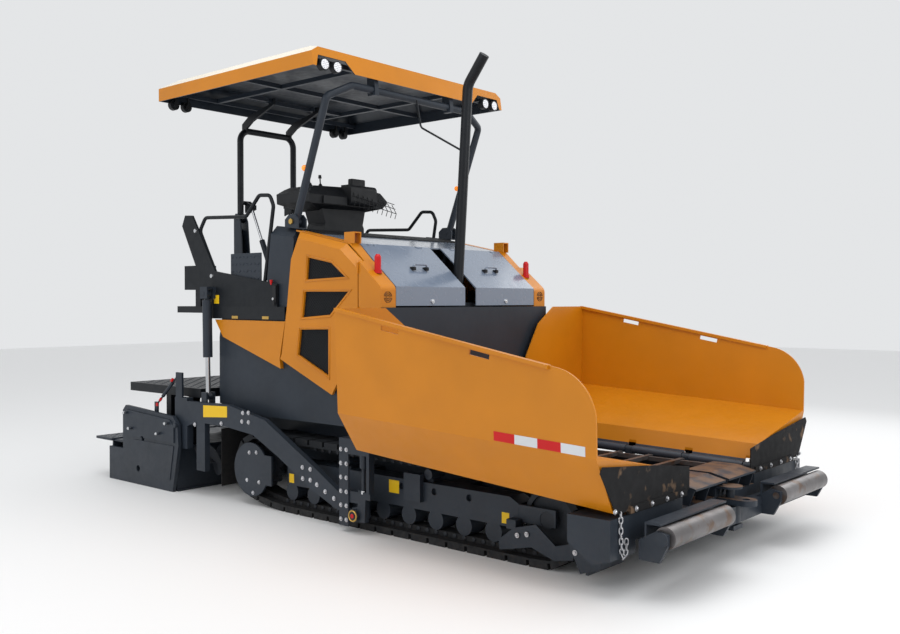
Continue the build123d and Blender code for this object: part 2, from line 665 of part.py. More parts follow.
def make_deck():
    """Operator platform with its side sills and support box."""
    deck = block(DECK_REAR_X, DECK_FRONT_X, -1080, 1080, DECK_Z0 + 50, DECK_Z1)
    sill = block(-2380, DECK_FRONT_X - 15, -BODY_HALF, -1070, DECK_Z0, DECK_Z1)
    deck += sill + other_side(sill)
    deck += block(CHASSIS_REAR_X, HOOD_FRONT_X - 10, -740, 740, FRAME_TOP_Z + SEAT_GAP, DECK_Z0 + 60) \
        - block(-1200, -200, -720, 720, FRAME_TOP_Z, 2000)
    return deck


def make_shield():
    """Side guard of the platform with its raked rear arm, right side."""
    outline = [(-2380, DECK_Z1), (-1400, DECK_Z1), (-1400, 1960), (-1470, 1972), (-2300, 2090), (-2665, 2628),
               (-2780, 2635), (-2830, 2535), (-2480, 1920)]
    shield = side_plate(outline, -BODY_HALF, -BODY_HALF + 20)
    return shield + block(-2820, -2520, -BODY_HALF + 19, -BODY_HALF + 170, 1920, 2150) \
        + block(-2640, -2560, -BODY_HALF + 19, -BODY_HALF + 60, DECK_Z1 + SEAT_GAP, 1925)


def make_handrail():
    """Bent tube rail over the side guard, right side."""
    y = -BODY_HALF + 20 + RAIL_R + SEAT_GAP
    points = [(-2330, y, 2060), (-2590, y, 2480), (-2500, y, 2600), (-1880, y, 2575), (-1690, y, 2755),
              (-1540, y, 2745), (-1490, y, 2650), (-1620, y, 1950)]
    return bent_tube(points, RAIL_R, 60)


def column_top(x):
    return COLUMN_TOP_Z + (COLUMN_TOP_X - x) * COLUMN_SLOPE


def make_hood_sides():
    """Fixed corner post and rear column of the engine cowl, right side."""
    outline = [(-1279, DECK_Z1 + SEAT_GAP), (-1203, 2326), (COLUMN_TOP_X, COLUMN_TOP_Z), (-1520, column_top(-1520)),
               (-1515, 2390), (-1569, 2002), (-1480, DECK_Z1 + SEAT_GAP)]
    column = side_plate(outline, -COLUMN_Y1, -COLUMN_Y0)
    edges = column.edges().filter_by(lambda e: e.center().Y < -COLUMN_Y1 + 1 and e.center().Z > COLUMN_TOP_Z)
    column = chamfer(edges, COLUMN_CHAMFER)
    hollow = side_plate([(-1340, 1700), (-1240, 2290), (-1420, 2330), (-1530, 2002), (-1440, 1700)],
                        -COLUMN_Y1 + 15, -COLUMN_Y0 + 1)
    return column - hollow


DOOR_PROFILE = [(-1150, 2405), (-572, 2282), (-390, 2137), (-390, 1500), (-700, 1040), (-1360, 1310),
                (-1340, 1350), (-1267, 1767), (-1191, 2325)]


def make_door():
    """Side door of the engine bay with three vent openings, right side."""
    door = side_plate(DOOR_PROFILE, -BODY_HALF, -BODY_HALF + DOOR_FLANGE)
    edges = door.edges().filter_by(lambda e: e.center().Y < -BODY_HALF + 1 and e.center().Z > 2200)
    door = chamfer(edges, DOOR_CHAMFER)
    door -= side_plate([(-1150, 2352), (-592, 2232), (-425, 2098), (-300, 2098), (-300, 1000), (-1500, 1000),
                        (-1500, 2290), (-1215, 2290)], -BODY_HALF + 22, -BODY_HALF + DOOR_FLANGE + 1)
    door -= side_plate([(-994, 2181), (-701, 2127), (-538, 2010), (-1013, 1994)], -1200, -1000)
    door -= side_plate([(-1037, 1893), (-500, 1890), (-720, 1700), (-1068, 1674)], -1200, -1000)
    door -= side_plate([(-1092, 1571), (-740, 1580), (-740, 1192), (-1125, 1356)], -1200, -1000)
    for z in DOOR_HINGE_Z:
        door += rod((DOOR_PIVOT_X, -DOOR_PIVOT_Y, z - 25), (DOOR_PIVOT_X, -DOOR_PIVOT_Y, z + 25), 9)
        door += block(DOOR_PIVOT_X - 14, DOOR_PIVOT_X - 4, -DOOR_PIVOT_Y, -BODY_HALF + 4, z - 25, z + 25)
        door -= rod((DOOR_PIVOT_X, -DOOR_PIVOT_Y, z - 30), (DOOR_PIVOT_X, -DOOR_PIVOT_Y, z + 30), 5 + PIN_GAP)
    return door


def make_door_grilles():
    """Vent grilles behind the door openings, right side."""
    y0 = -BODY_HALF + 22
    y1 = y0 + 6
    first = side_plate([(-1010, 2200), (-690, 2145), (-510, 2000), (-1030, 1975)], y0, y1)
    second = side_plate([(-1055, 1910), (-470, 1905), (-710, 1680), (-1085, 1655)], y0, y1)
    third = side_plate([(-1110, 1590), (-720, 1600), (-720, 1170), (-1145, 1340)], y0, y1)
    return group(first, second, third)


def make_cowl_front():
    """Orange corner housing in front of the side door, right side."""
    outline = [(-380, 2137), (HOOD_FRONT_X, HOOD_EDGE_Z), (HOOD_FRONT_X, FASCIA_Z0), (-140, 1655),
               (-380, 1655)]
    corner = side_plate(outline, -BODY_HALF, -PILLAR_Y0)
    bend = corner.edges().filter_by(Axis.Y).filter_by(lambda e: e.center().X > HOOD_FRONT_X - 1 and e.center().Z > 1900)
    corner = fillet(bend, 60)
    inner = -BODY_HALF + DOOR_FLANGE + 7
    edge_y = -PILLAR_Y0 - 3
    corner += side_plate([(-1222, 2428), (HOOD_CREASE_X - 8, HOOD_CREASE_Z), (-376, 2133), (-376, 2117),
                          (HOOD_CREASE_X - 14, HOOD_CREASE_Z - 14), (-1222, 2414)], inner, edge_y)
    for y in (inner + 6, edge_y - 20):
        corner += block(-625, -510, y, y + 10, 2285, LIFT_LOOP_Z)
    corner += block(-625, -510, inner + 6, edge_y - 10, LIFT_LOOP_Z - 10, LIFT_LOOP_Z)
    for z in DOOR_HINGE_Z:
        corner += rod((DOOR_PIVOT_X, -DOOR_PIVOT_Y, z - 45), (DOOR_PIVOT_X, -DOOR_PIVOT_Y, z + 45), 5)
        for low in (z - 45, z + 27):
            corner += rod((DOOR_PIVOT_X, -DOOR_PIVOT_Y, low), (DOOR_PIVOT_X, -DOOR_PIVOT_Y, low + 18), 9)
            corner += block(DOOR_PIVOT_X, DOOR_PIVOT_X + 10, -DOOR_PIVOT_Y, -BODY_HALF + 4, low, low + 18)
    return corner


def make_hood_top():
    """Fixed rear part of the hood and its fascia strip."""
    half = PILLAR_Y0 + 3 - SEAT_GAP
    top = side_plate([(HOOD_REAR_X, HOOD_REAR_Z), (HOOD_CREASE_X - 20, HOOD_CREASE_Z),
                      (HOOD_CREASE_X - 20, HOOD_CREASE_Z - 12), (HOOD_REAR_X, HOOD_REAR_Z - 12)], -half, half)
    rear = block(HOOD_REAR_X, HOOD_REAR_X + 12, -940, 940, DECK_Z1, HOOD_REAR_Z - 5)
    top += rear
    for place in HOOD_HINGE_Y:
        for y in (-place, place):
            for a in (y - 40, y + 28):
                top += block(HOOD_CREASE_X - 24, LID_PIVOT_X + 4, a, a + 12, LID_PIVOT_Z - 9, HOOD_CREASE_Z - 1)
            top += bar_y(LID_PIVOT_X, LID_PIVOT_Z, 5, y - 40, y + 40)
    return top


def make_lid():
    """Hinged front half of the hood, right of the exhaust channel."""
    outline = [(HOOD_CREASE_X - 10, HOOD_CREASE_Z), (HOOD_FRONT_X - 2, HOOD_EDGE_Z + 5), (HOOD_FRONT_X - 2, 1775),
               (HOOD_FRONT_X - 12, 1775), (HOOD_FRONT_X - 12, HOOD_EDGE_Z - 2), (HOOD_CREASE_X - 10, HOOD_CREASE_Z - 14)]
    lid = side_plate(outline, -PILLAR_Y0 + 6, -HOOD_SLOT_HALF - 5)
    for place in HOOD_HINGE_Y:
        lid -= block(LID_PIVOT_X - 10, LID_PIVOT_X + 14, -place - 46, -place + 46, 2200, 2400)
        lid += bar_y(LID_PIVOT_X, LID_PIVOT_Z, 9, -place - 26, -place + 26)
        lid += block(LID_PIVOT_X + 2, LID_PIVOT_X + 20, -place - 26, -place + 26, LID_PIVOT_Z - 9, LID_PIVOT_Z - 1)
        lid -= bar_y(LID_PIVOT_X, LID_PIVOT_Z, 5 + PIN_GAP, -place - 30, -place + 30)
    handle = bent_tube([(-300, -560, 2055), (-285, -560, 2120), (-285, -400, 2120), (-300, -400, 2055)], 9, 20)
    return lid + handle


def make_exhaust():
    """Leaning exhaust stack with its turned tip and steady rod."""
    points = [(STACK_BASE_X, 0, STACK_BASE_Z), (STACK_TOP_X, 0, STACK_TOP_Z), (20, 0, 3925)]
    stack = bent_tube(points, STACK_R, 150)
    stay = bent_tube([(-770, 0, 3640), (-720, 0, 3390), (-215, 0, 3120)], 9, 60)
    flange_z0 = ENGINE_TOP_Z + SEAT_GAP
    flange = rod((STACK_BASE_X, 0, flange_z0), (STACK_BASE_X, 0, STACK_BASE_Z + 40), 62)
    return stack + stay + flange


def make_front_posts():
    """Front canopy frame: two raked legs with a crossbar."""
    points = [(POST_PIVOT_X, -POST_Y, POST_PIVOT_Z), (POST_BEND_X, -POST_Y, POST_BEND_Z), (POST_TOP_X, -760, POST_TOP_Z),
              (POST_TOP_X, 760, POST_TOP_Z), (POST_BEND_X, POST_Y, POST_BEND_Z), (POST_PIVOT_X, POST_Y, POST_PIVOT_Z)]
    frame = bent_tube(points, POST_R, 60)
    for y in (-POST_Y, POST_Y):
        frame += bar_y(POST_PIVOT_X, POST_PIVOT_Z, 38, y - 30, y + 30)
        frame -= bar_y(POST_PIVOT_X, POST_PIVOT_Z, 20 + PIN_GAP, y - 60, y + 60)
    return frame


def make_post_brackets():
    """Clevis brackets of the front canopy frame on the cowl, right side."""
    y = -POST_Y
    ears = None
    for a in (y - 52, y + 38):
        ear = side_plate([(-1350, column_top(-1350) + SEAT_GAP), (-1350, 2520), (-1300, 2560), (-1220, 2560),
                          (-1180, 2520), (-1180, column_top(-1180) + SEAT_GAP)], a, a + 14)
        ears = ear if ears is None else ears + ear
    ears += side_plate([(-1350, column_top(-1350) + SEAT_GAP), (-1180, column_top(-1180) + SEAT_GAP),
                        (-1180, column_top(-1180) + 10), (-1350, column_top(-1350) + 10)], y - 52, y + 52)
    ears += bar_y(POST_PIVOT_X, POST_PIVOT_Z, 20, y - 55, y + 55)
    return ears


def make_rear_frame():
    """Rear canopy frame: inverted U with cranked brackets up to the roof."""
    x = REAR_PIVOT_X
    points = [(x, -REAR_HALF, REAR_PIVOT_Z), (x, -REAR_HALF, REAR_TOP_Z), (x, REAR_HALF, REAR_TOP_Z),
              (x, REAR_HALF, REAR_PIVOT_Z)]
    frame = bent_tube(points, REAR_TUBE_R, 110)
    dx = POST_TOP_X - POST_PIVOT_X
    dz = POST_TOP_Z - POST_PIVOT_Z
    for y in (-REAR_HALF + 60, REAR_HALF - 60):
        frame += side_plate([(x - 35, REAR_TOP_Z - 20), (x - 35, REAR_TOP_Z + 70), (x + 90, REAR_TOP_Z + 150),
                             (x + dx - 40, REAR_PIVOT_Z + dz - 35), (x + dx - 40, REAR_PIVOT_Z + dz + 20),
                             (x + dx + 40, REAR_PIVOT_Z + dz + 20), (x + dx + 40, REAR_PIVOT_Z + dz - 40),
                             (x + 130, REAR_TOP_Z + 80), (x + 35, REAR_TOP_Z + 20), (x + 35, REAR_TOP_Z - 20)],
                            y - 12, y + 12)
        frame -= bar_y(x + dx, REAR_PIVOT_Z + dz, 12 + PIN_GAP, y - 30, y + 30)
    for y in (-REAR_HALF, REAR_HALF):
        frame += bar_y(x, REAR_PIVOT_Z, 50, y - 25, y + 25)
        frame -= bar_y(x, REAR_PIVOT_Z, 18 + PIN_GAP, y - 60, y + 60)
    y = -REAR_HALF + CYLINDER_INSET
    ears = block(x - 12, x + 12, -REAR_HALF, y + 36, REAR_PIVOT_Z + 140, REAR_PIVOT_Z + 180)
    for a in (y - 36, y + 22):
        ears += side_plate([(x, REAR_PIVOT_Z + 60), (x, REAR_PIVOT_Z + 180), (CANOPY_HIGH_X + 30, CANOPY_HIGH_Z + 30),
                            (CANOPY_HIGH_X + 30, CANOPY_HIGH_Z - 15)], a, a + 14)
    return frame + ears + other_side(ears)


def make_rear_posts():
    """Fixed channel post that carries the rear canopy frame, right side."""
    x = REAR_PIVOT_X
    y = -REAR_HALF
    post = None
    for a in (y - 52, y + 38):
        ear = side_plate([(x - 45, DECK_Z1), (x - 45, REAR_PIVOT_Z), (x - 20, REAR_PIVOT_Z + 45),
                          (x + 20, REAR_PIVOT_Z + 45), (x + 60, REAR_PIVOT_Z - 40), (x + 140, DECK_Z1)], a, a + 14)
        post = ear if post is None else post + ear
    cylinder_y = y + CYLINDER_INSET
    ear_end = cylinder_y + CYLINDER_EAR + 14
    for a in (cylinder_y - CYLINDER_EAR - 14, cylinder_y + CYLINDER_EAR):
        post += side_plate([(CANOPY_LOW_X - 60, DECK_Z1), (CANOPY_LOW_X - 28, CANOPY_LOW_Z + 28),
                            (CANOPY_LOW_X + 28, CANOPY_LOW_Z + 28), (CANOPY_LOW_X + 60, DECK_Z1)], a, a + 14)
    post += bar_y(CANOPY_LOW_X, CANOPY_LOW_Z, 12, cylinder_y - CYLINDER_EAR - 14, ear_end)
    post += block(x + 100, CANOPY_LOW_X + 40, y - 52, ear_end, DECK_Z1, DECK_Z1 + 12)
    post += block(x - 45, x - 33, y - 52, y + 52, DECK_Z1, REAR_PIVOT_Z - 110)
    post += bar_y(x, REAR_PIVOT_Z, 18, y - 55, y + 55)
    return post


def make_roof():
    """Canopy shell with raked fascia and side notches, hollow below."""
    h = ROOF_HALF
    outer = [(ROOF_REAR_X, ROOF_EDGE_Z0), (ROOF_REAR_X, ROOF_EDGE_Z1), (-2860, ROOF_CROWN_Z - 10),
             (-960, ROOF_CROWN_Z), (ROOF_FRONT_X + 15, ROOF_EDGE_Z1 + 45), (ROOF_FRONT_X + 40, ROOF_EDGE_Z0)]
    shell = side_plate(outer, -h, h)
    side_cut = cross_plate([(-h - 1, ROOF_EDGE_Z1), (-h - 1, 4100), (-h + 260, 4100), (-h + 150, ROOF_CROWN_Z)],
                           ROOF_REAR_X - 10, ROOF_FRONT_X + 100)
    shell -= side_cut
    shell -= other_side(side_cut)
    cavity = side_plate([(ROOF_REAR_X + ROOF_SKIN, ROOF_EDGE_Z0 - 5), (ROOF_REAR_X + ROOF_SKIN, ROOF_EDGE_Z1 - 12),
                         (-2860, ROOF_CROWN_Z - 24), (-960, ROOF_CROWN_Z - 14),
                         (ROOF_FRONT_X + 3, ROOF_EDGE_Z1 + 30), (ROOF_FRONT_X + 28, ROOF_EDGE_Z0 - 5)],
                        -h + ROOF_SKIN, h - ROOF_SKIN)
    inner_cut = cross_plate([(-h - 1, ROOF_EDGE_Z1 - 14), (-h - 1, 4100), (-h + 260, 4100),
                             (-h + 150, ROOF_CROWN_Z - 14)], ROOF_REAR_X - 10, ROOF_FRONT_X + 100)
    cavity -= inner_cut
    cavity -= other_side(inner_cut)
    shell -= cavity
    notch = cross_plate([(-1215, ROOF_EDGE_Z0 - 10), (-1185, ROOF_EDGE_Z0 + 95), (-880, ROOF_EDGE_Z0 + 95),
                         (-770, ROOF_EDGE_Z0 - 10)], ROOF_FRONT_X - 20, ROOF_FRONT_X + 60)
    return shell - notch - other_side(notch)


def lamp_on_x(x, y, z, length):
    """A work lamp facing along X, with its rear boss."""
    lamp = rod((x, y, z), (x + length, y, z), LAMP_R)
    return lamp + rod((x - length * 0.6, y, z), (x, y, z), LAMP_R * 0.55)


def make_roof_lamps():
    """Work lamps at the canopy's corners on their hanger bars."""
    lamps = None
    for side in (-1, 1):
        for y in (985, 1125):
            lamp = lamp_on_x(ROOF_FRONT_X - 5, side * y, ROOF_EDGE_Z0 + 25, 45)
            lamps = lamp if lamps is None else lamps + lamp
            lamps += lamp_on_x(-2930, side * (y - 10), ROOF_EDGE_Z0 - 20, -40)
            lamps += block(-2925, -2905, side * (y - 10) - 12, side * (y - 10) + 12, ROOF_EDGE_Z0 - 20,
                           ROOF_EDGE_Z0 + 60)
            lamps += block(-880, ROOF_FRONT_X - 20, side * y - 12, side * y + 12, ROOF_EDGE_Z0 + 62,
                           ROOF_EDGE_Z0 + 75)
            lamps += block(ROOF_FRONT_X - 30, ROOF_FRONT_X - 18, side * y - 12, side * y + 12, ROOF_EDGE_Z0 + 20,
                           ROOF_EDGE_Z0 + 75)
    return lamps


def beacon(x, y, z):
    """An amber side marker on its stub."""
    return Pos(x, y, z) * Sphere(BEACON_R)


def make_front_beacons():
    t = 0.44
    rise = POST_BEND_Z - POST_PIVOT_Z
    slope = hypot(POST_BEND_X - POST_PIVOT_X, rise) / rise
    x = lerp(POST_PIVOT_X, POST_BEND_X, t) - (POST_R + BEACON_R + SEAT_GAP) * slope
    z = lerp(POST_PIVOT_Z, POST_BEND_Z, t)
    return group(beacon(x, -POST_Y, z), beacon(x, POST_Y, z))


def make_canopy_barrels():
    """Barrels of the canopy lift cylinders beside the rear posts."""
    barrels = []
    for y in (CYLINDER_INSET - REAR_HALF, REAR_HALF - CYLINDER_INSET):
        low = (CANOPY_LOW_X, y, CANOPY_LOW_Z)
        high = (CANOPY_HIGH_X, y, CANOPY_HIGH_Z)
        end = tuple(lerp(low[k], high[k], 0.6) for k in range(3))
        start = tuple(lerp(low[k], high[k], 0.01) for k in range(3))
        bore = tuple(lerp(low[k], high[k], 0.12) for k in range(3))
        barrel = rod(start, end, 28) + bar_y(low[0], low[2], 24, y - CYLINDER_EAR + SEAT_GAP, y + CYLINDER_EAR - SEAT_GAP)
        barrel -= rod(bore, high, 14 + PIN_GAP)
        barrels.append(barrel - bar_y(low[0], low[2], 12 + PIN_GAP, y - 40, y + 40))
    return group(*barrels)


def make_canopy_rods():
    """Rods of the canopy lift cylinders."""
    rods = []
    for y in (CYLINDER_INSET - REAR_HALF, REAR_HALF - CYLINDER_INSET):
        low = (CANOPY_LOW_X, y, CANOPY_LOW_Z)
        high = (CANOPY_HIGH_X, y, CANOPY_HIGH_Z)
        inner = tuple(lerp(low[k], high[k], 0.35) for k in range(3))
        outer = tuple(lerp(low[k], high[k], 0.97) for k in range(3))
        rods.append(rod(inner, outer, 14))
    return group(*rods)


def make_trim():
    """Tapered orange panel below the deck sill, right side."""
    outline = [(-2310, 1641), (-1300, 1636), (-1375, 1310), (-1360, 1225), (-2190, 1482)]
    return side_plate(outline, -1105, -TANK_Y)


def make_roof_frame():
    """Rafters and cross rails under the canopy skin, with the hinge ears."""
    z0 = ROOF_EDGE_Z0 + 60
    reach = ROOF_HALF - ROOF_SKIN - SEAT_GAP
    frame = None
    dx = POST_TOP_X - POST_PIVOT_X
    dz = POST_TOP_Z - POST_PIVOT_Z
    for y in (-640, 640):
        rail = block(-2940, -860, y - 20, y + 20, z0, z0 + 40)
        frame = rail if frame is None else frame + rail
    for x in (-2900, -1900, -900):
        frame += block(x - 20, x + 20, -reach, reach, z0, z0 + 40)
    pin_x = REAR_PIVOT_X + dx
    pin_z = REAR_PIVOT_Z + dz
    frame += block(pin_x - 25, pin_x + 25, -660, 660, z0 + 5, z0 + 40) \
        - block(pin_x - 60, pin_x + 60, -REAR_HALF, REAR_HALF, z0 - 100, z0 + 100)
    frame += block(pin_x - 60, pin_x - 48, -660, 660, z0 + 5, z0 + 40)
    for y in (-REAR_HALF + 60, REAR_HALF - 60):
        frame += block(pin_x - 60, pin_x + 15, y - 38, y - 22, pin_z - 20, z0 + 40)
        frame += bar_y(pin_x, pin_z, 12, y - 36, y + 16)
    for y in (-500, 500):
        clamp = side_plate([(POST_TOP_X - 60, z0 + 5), (POST_TOP_X - 60, POST_TOP_Z), (POST_TOP_X - 48, POST_TOP_Z - 48),
                            (POST_TOP_X + 40, POST_TOP_Z - 48), (POST_TOP_X + 42, POST_TOP_Z), (POST_TOP_X + 20, z0 + 5)],
                           y - 25, y + 25)
        clamp -= bar_y(POST_TOP_X, POST_TOP_Z, POST_R + PIN_GAP, y - 30, y + 30)
        frame += clamp
        frame += block(-920, POST_TOP_X + 20, y - 25, y + 25, z0 + 2, z0 + 40)
    return frame


def make_console():
    """Operator console: a faceted board with a rounded pod on a tapered stem."""
    board = cross_plate([(-800, 2700), (-795, 2790), (-655, 2862), (0, 2890), (183, 2855), (183, 2745),
                         (128, 2698), (-45, 2655), (-590, 2642)], -1810, -1330)
    board &= side_plate([(-1780, 2700), (-1800, 2840), (-1720, 2925), (-1500, 2925), (-1330, 2770), (-1340, 2690),
                         (-1450, 2640), (-1700, 2640)], -810, 500)
    pod = block(-1420, -1285, -335, 0, 2700, 2890)
    pod = fillet(pod.edges().filter_by(Axis.Y).filter_by(lambda e: e.center().X > -1290), 45)
    ledge = block(-1400, -1318, -640, -350, 2695, 2765)
    stem = cross_plate([(-589, 2655), (-545, 2530), (-560, 2500), (-560, DECK_Z1), (-60, DECK_Z1), (-60, 2500),
                        (-75, 2530), (-45, 2665)], -1640, -1400)
    return board + pod + ledge + stem


def make_seat():
    """Operator seat on its pedestal, left side."""
    base = block(-2520, -2140, 480, 860, DECK_Z1, 2000)
    pad = block(-2580, -2080, 430, 910, 2000 + SEAT_GAP, 2120)
    back = side_plate([(-2640, 2060), (-2560, 2125), (-2620, 2640), (-2700, 2640)], 440, 900)
    return group(base), pad + back


def make_tower():
    """Tow point tower: channel post, carriage block and levelling cylinder, right side."""
    post = block(-395, -290, -TOWER_Y1, -TOWER_Y1 + 12, 50, 700)
    post += block(-395, -380, -TOWER_Y1, -ARM_Y1 - 8, 50, 700)
    post += block(-395, -60, -TOWER_Y1, -TOWER_Y1 + 60, 620, 740)
    post += block(-395, -60, -TOWER_Y1 + 10, -FRAME_HALF, 680, 740)
    post += block(-90, -60, -TOWER_Y1, -ARM_Y1 - 8, 330, 700)
    carriage = side_plate([(TOW_X - 30, 95), (-120, 100), (-110, 330), (-190, 350), (-200, 215), (TOW_X - 35, 200)],
                          -TOWER_Y1 + 12, -ARM_Y1 - 8)
    carriage += bar_y(TOW_X, TOW_Z, TOW_PIN_R, -TOWER_Y1 - 20, -ARM_Y0)
    carriage += bar_y(TOW_X, TOW_Z, 50, -TOWER_Y1 - 14, -ARM_Y1 - 8)
    carriage += block(-300, TOW_X - 20, -TOWER_Y1 + 12, -ARM_Y1 - 8, 120, 190)
    carriage += block(-300, -180, -TOWER_Y1 + 12, -ARM_Y1 - 8, 240, 330)
    carriage += block(-112, -60, -TOWER_Y1 + 12, -ARM_Y1 - 8, 280, 335)
    carriage += rod((-150, -TOWER_Y1 + 30, 320), (-150, -TOWER_Y1 + 30, 660), 16)
    carriage += rod((-150, -TOWER_Y1 + 30, 520), (-150, -TOWER_Y1 + 30, 650), 30)
    return post + carriage


def make_arm():
    """Curved side arm from the tow point to the screed, right side."""
    outline = [(-2600, 872), (-2300, 874), (-1940, 880), (-1410, 787), (-810, 475), (-478, 292), (-250, 215),
               (-170, 180), (-160, 120), (-210, 80), (-330, 100), (-527, 158), (-810, 269), (-1233, 491),
               (-1571, 644), (-1990, 685), (-2407, 686), (-2600, 626)]
    arm = side_plate(outline, -ARM_Y1, -ARM_Y0)
    arm -= bar_y(TOW_X, TOW_Z, TOW_PIN_R + PIN_GAP, -1300, -1100)
    link = block(-2760, -2560, -ARM_Y1, -ARM_Y0 + 12, 440, 900)
    link += block(SCREED_FRONT_X - 60, -2560, -ARM_Y1, -ARM_Y0 + 12, 420, 560)
    link += block(LINK_X - 100, LINK_X, -ARM_Y1, -ARM_Y1 + 20, 890, LINK_Z)
    link += rod((LINK_X - 70, -ARM_Y1 + 10, LINK_Z - 25), (BRACE_X, -ARM_Y1 + 10, 800), 9)
    link += rod((lerp(LINK_X - 70, BRACE_X, 0.25), -ARM_Y1 + 10, lerp(LINK_Z - 25, 800, 0.25)),
                (lerp(LINK_X - 70, BRACE_X, 0.7), -ARM_Y1 + 10, lerp(LINK_Z - 25, 800, 0.7)), 17)
    link += block(BRACE_X - 25, BRACE_X + 25, -ARM_Y1 + 1, -ARM_Y1 + 19, 420 + SEAT_GAP, 830)
    channel = block(CHANNEL_X - 65, CHANNEL_X + 65, -ARM_Y1, -ARM_Y1 + 14, 240, 690)
    for x in (CHANNEL_X - 65, CHANNEL_X + 51):
        channel += block(x, x + 14, -ARM_Y1, -ARM_Y0, 240, 690)
    link += channel
    ears = None
    for y in (-LIFT_Y - 50, -LIFT_Y + 32):
        ear = block(LIFT_EYE_X - 40, LIFT_EYE_X + 40, y, y + 18, 800, LIFT_EYE_Z + 35)
        ears = ear if ears is None else ears + ear
    ears += block(LIFT_EYE_X - 40, LIFT_EYE_X + 40, -ARM_Y0 - 25, -LIFT_Y + 50, 790, 830)
    ears += bar_y(LIFT_EYE_X, LIFT_EYE_Z, 18, -LIFT_Y - 50, -LIFT_Y + 50)
    return arm + link + ears


def make_lift_barrel():
    """Barrel of the screed lift cylinder, right side."""
    top = (LIFT_TOP_X, -LIFT_Y, LIFT_TOP_Z)
    eye = (LIFT_EYE_X, -LIFT_Y, LIFT_EYE_Z)
    length = hypot(LIFT_EYE_X - LIFT_TOP_X, LIFT_EYE_Z - LIFT_TOP_Z)
    t1 = (LIFT_TOP_Z - LIFT_BARREL_END_Z) / length
    start = (lerp(top[0], eye[0], 0.06), -LIFT_Y, lerp(top[2], eye[2], 0.06))
    end = (lerp(top[0], eye[0], t1), -LIFT_Y, lerp(top[2], eye[2], t1))
    barrel = rod(start, end, LIFT_BARREL_R)
    barrel += bar_y(LIFT_TOP_X, LIFT_TOP_Z, 38, -LIFT_Y - 22, -LIFT_Y + 22)
    barrel += rod(top, start, 26)
    bore_start = (lerp(top[0], eye[0], 0.16), -LIFT_Y, lerp(top[2], eye[2], 0.16))
    past = (lerp(top[0], eye[0], t1 + 0.1), -LIFT_Y, lerp(top[2], eye[2], t1 + 0.1))
    barrel -= rod(bore_start, past, LIFT_ROD_R + PIN_GAP)
    return barrel - bar_y(LIFT_TOP_X, LIFT_TOP_Z, 18 + PIN_GAP, -LIFT_Y - 40, -LIFT_Y + 40)


def make_lift_rod():
    """Piston rod with its eye, right side."""
    top = (LIFT_TOP_X, -LIFT_Y, LIFT_TOP_Z)
    eye = (LIFT_EYE_X, -LIFT_Y, LIFT_EYE_Z)
    inner = (lerp(top[0], eye[0], 0.5), -LIFT_Y, lerp(top[2], eye[2], 0.5))
    piston = rod(inner, eye, LIFT_ROD_R)
    piston += bar_y(LIFT_EYE_X, LIFT_EYE_Z, 36, -LIFT_Y - 22, -LIFT_Y + 22)
    return piston - bar_y(LIFT_EYE_X, LIFT_EYE_Z, 18 + LIFT_EYE_PLAY, -LIFT_Y - 40, -LIFT_Y + 40)


def make_lift_brackets():
    """Upper clevis of the screed lift cylinder on the platform's corner, right side."""
    ears = None
    for y in (-LIFT_Y - 44, -LIFT_Y + 28):
        ear = block(LIFT_TOP_X - 50, LIFT_TOP_X + 60, y, y + 16, LIFT_TOP_Z - 45, LIFT_TOP_Z + 60)
        ears = ear if ears is None else ears + ear
    ears += block(LIFT_TOP_X - 50, LIFT_TOP_X + 60, -LIFT_Y - 44, -LIFT_Y + 44, LIFT_TOP_Z + 48, LIFT_TOP_Z + 64)
    ears += block(LIFT_TOP_X - 50, LIFT_TOP_X + 60, -LIFT_Y + 28, -BODY_HALF, LIFT_TOP_Z - 45, LIFT_TOP_Z + 64)
    ears += bar_y(LIFT_TOP_X, LIFT_TOP_Z, 18, -LIFT_Y - 46, -LIFT_Y + 40)
    return ears


def make_screed_main():
    """Main screed box with its sole plate, tamper bar and bushing blocks."""
    box = block(SCREED_REAR_X, SCREED_FRONT_X, -SCREED_HALF, SCREED_HALF, 12, 420)
    box -= block(SCREED_REAR_X + 20, SCREED_FRONT_X - 20, -SCREED_HALF + 20, SCREED_HALF - 20, 30, 400)
    sole = block(SCREED_REAR_X, SCREED_FRONT_X + 25, -SCREED_HALF, SCREED_HALF, 0, 14)
    box += sole
    return box


def make_screed_cover():
    """Walk-on cover over the screed with its legs."""
    cover = block(COVER_REAR_X, COVER_FRONT_X, -1150, 1150, 900, 985)
    for x in (-3180, -2800):
        for y in (-1000, 1000):
            cover += block(x - 40, x + 40, y - 40, y + 40, 420, 905)
    return cover


def make_screed_guides():
    """Bushing blocks that carry the extension tubes behind the main screed."""
    blocks = None
    for y in (-1080, -120, 120, 1080):
        bush = block(GUIDE_LEFT_X - 80, SCREED_REAR_X + 60, y - 50, y + 50, 470, 650)
        bush += block(SCREED_REAR_X + 1, SCREED_REAR_X + 60, y - 50, y + 50, 420, 475)
        blocks = bush if blocks is None else blocks + bush
    for x in (GUIDE_RIGHT_X, GUIDE_LEFT_X):
        blocks -= bar_y(x, GUIDE_Z, GUIDE_R + PIN_GAP, -1300, 1300)
    return blocks


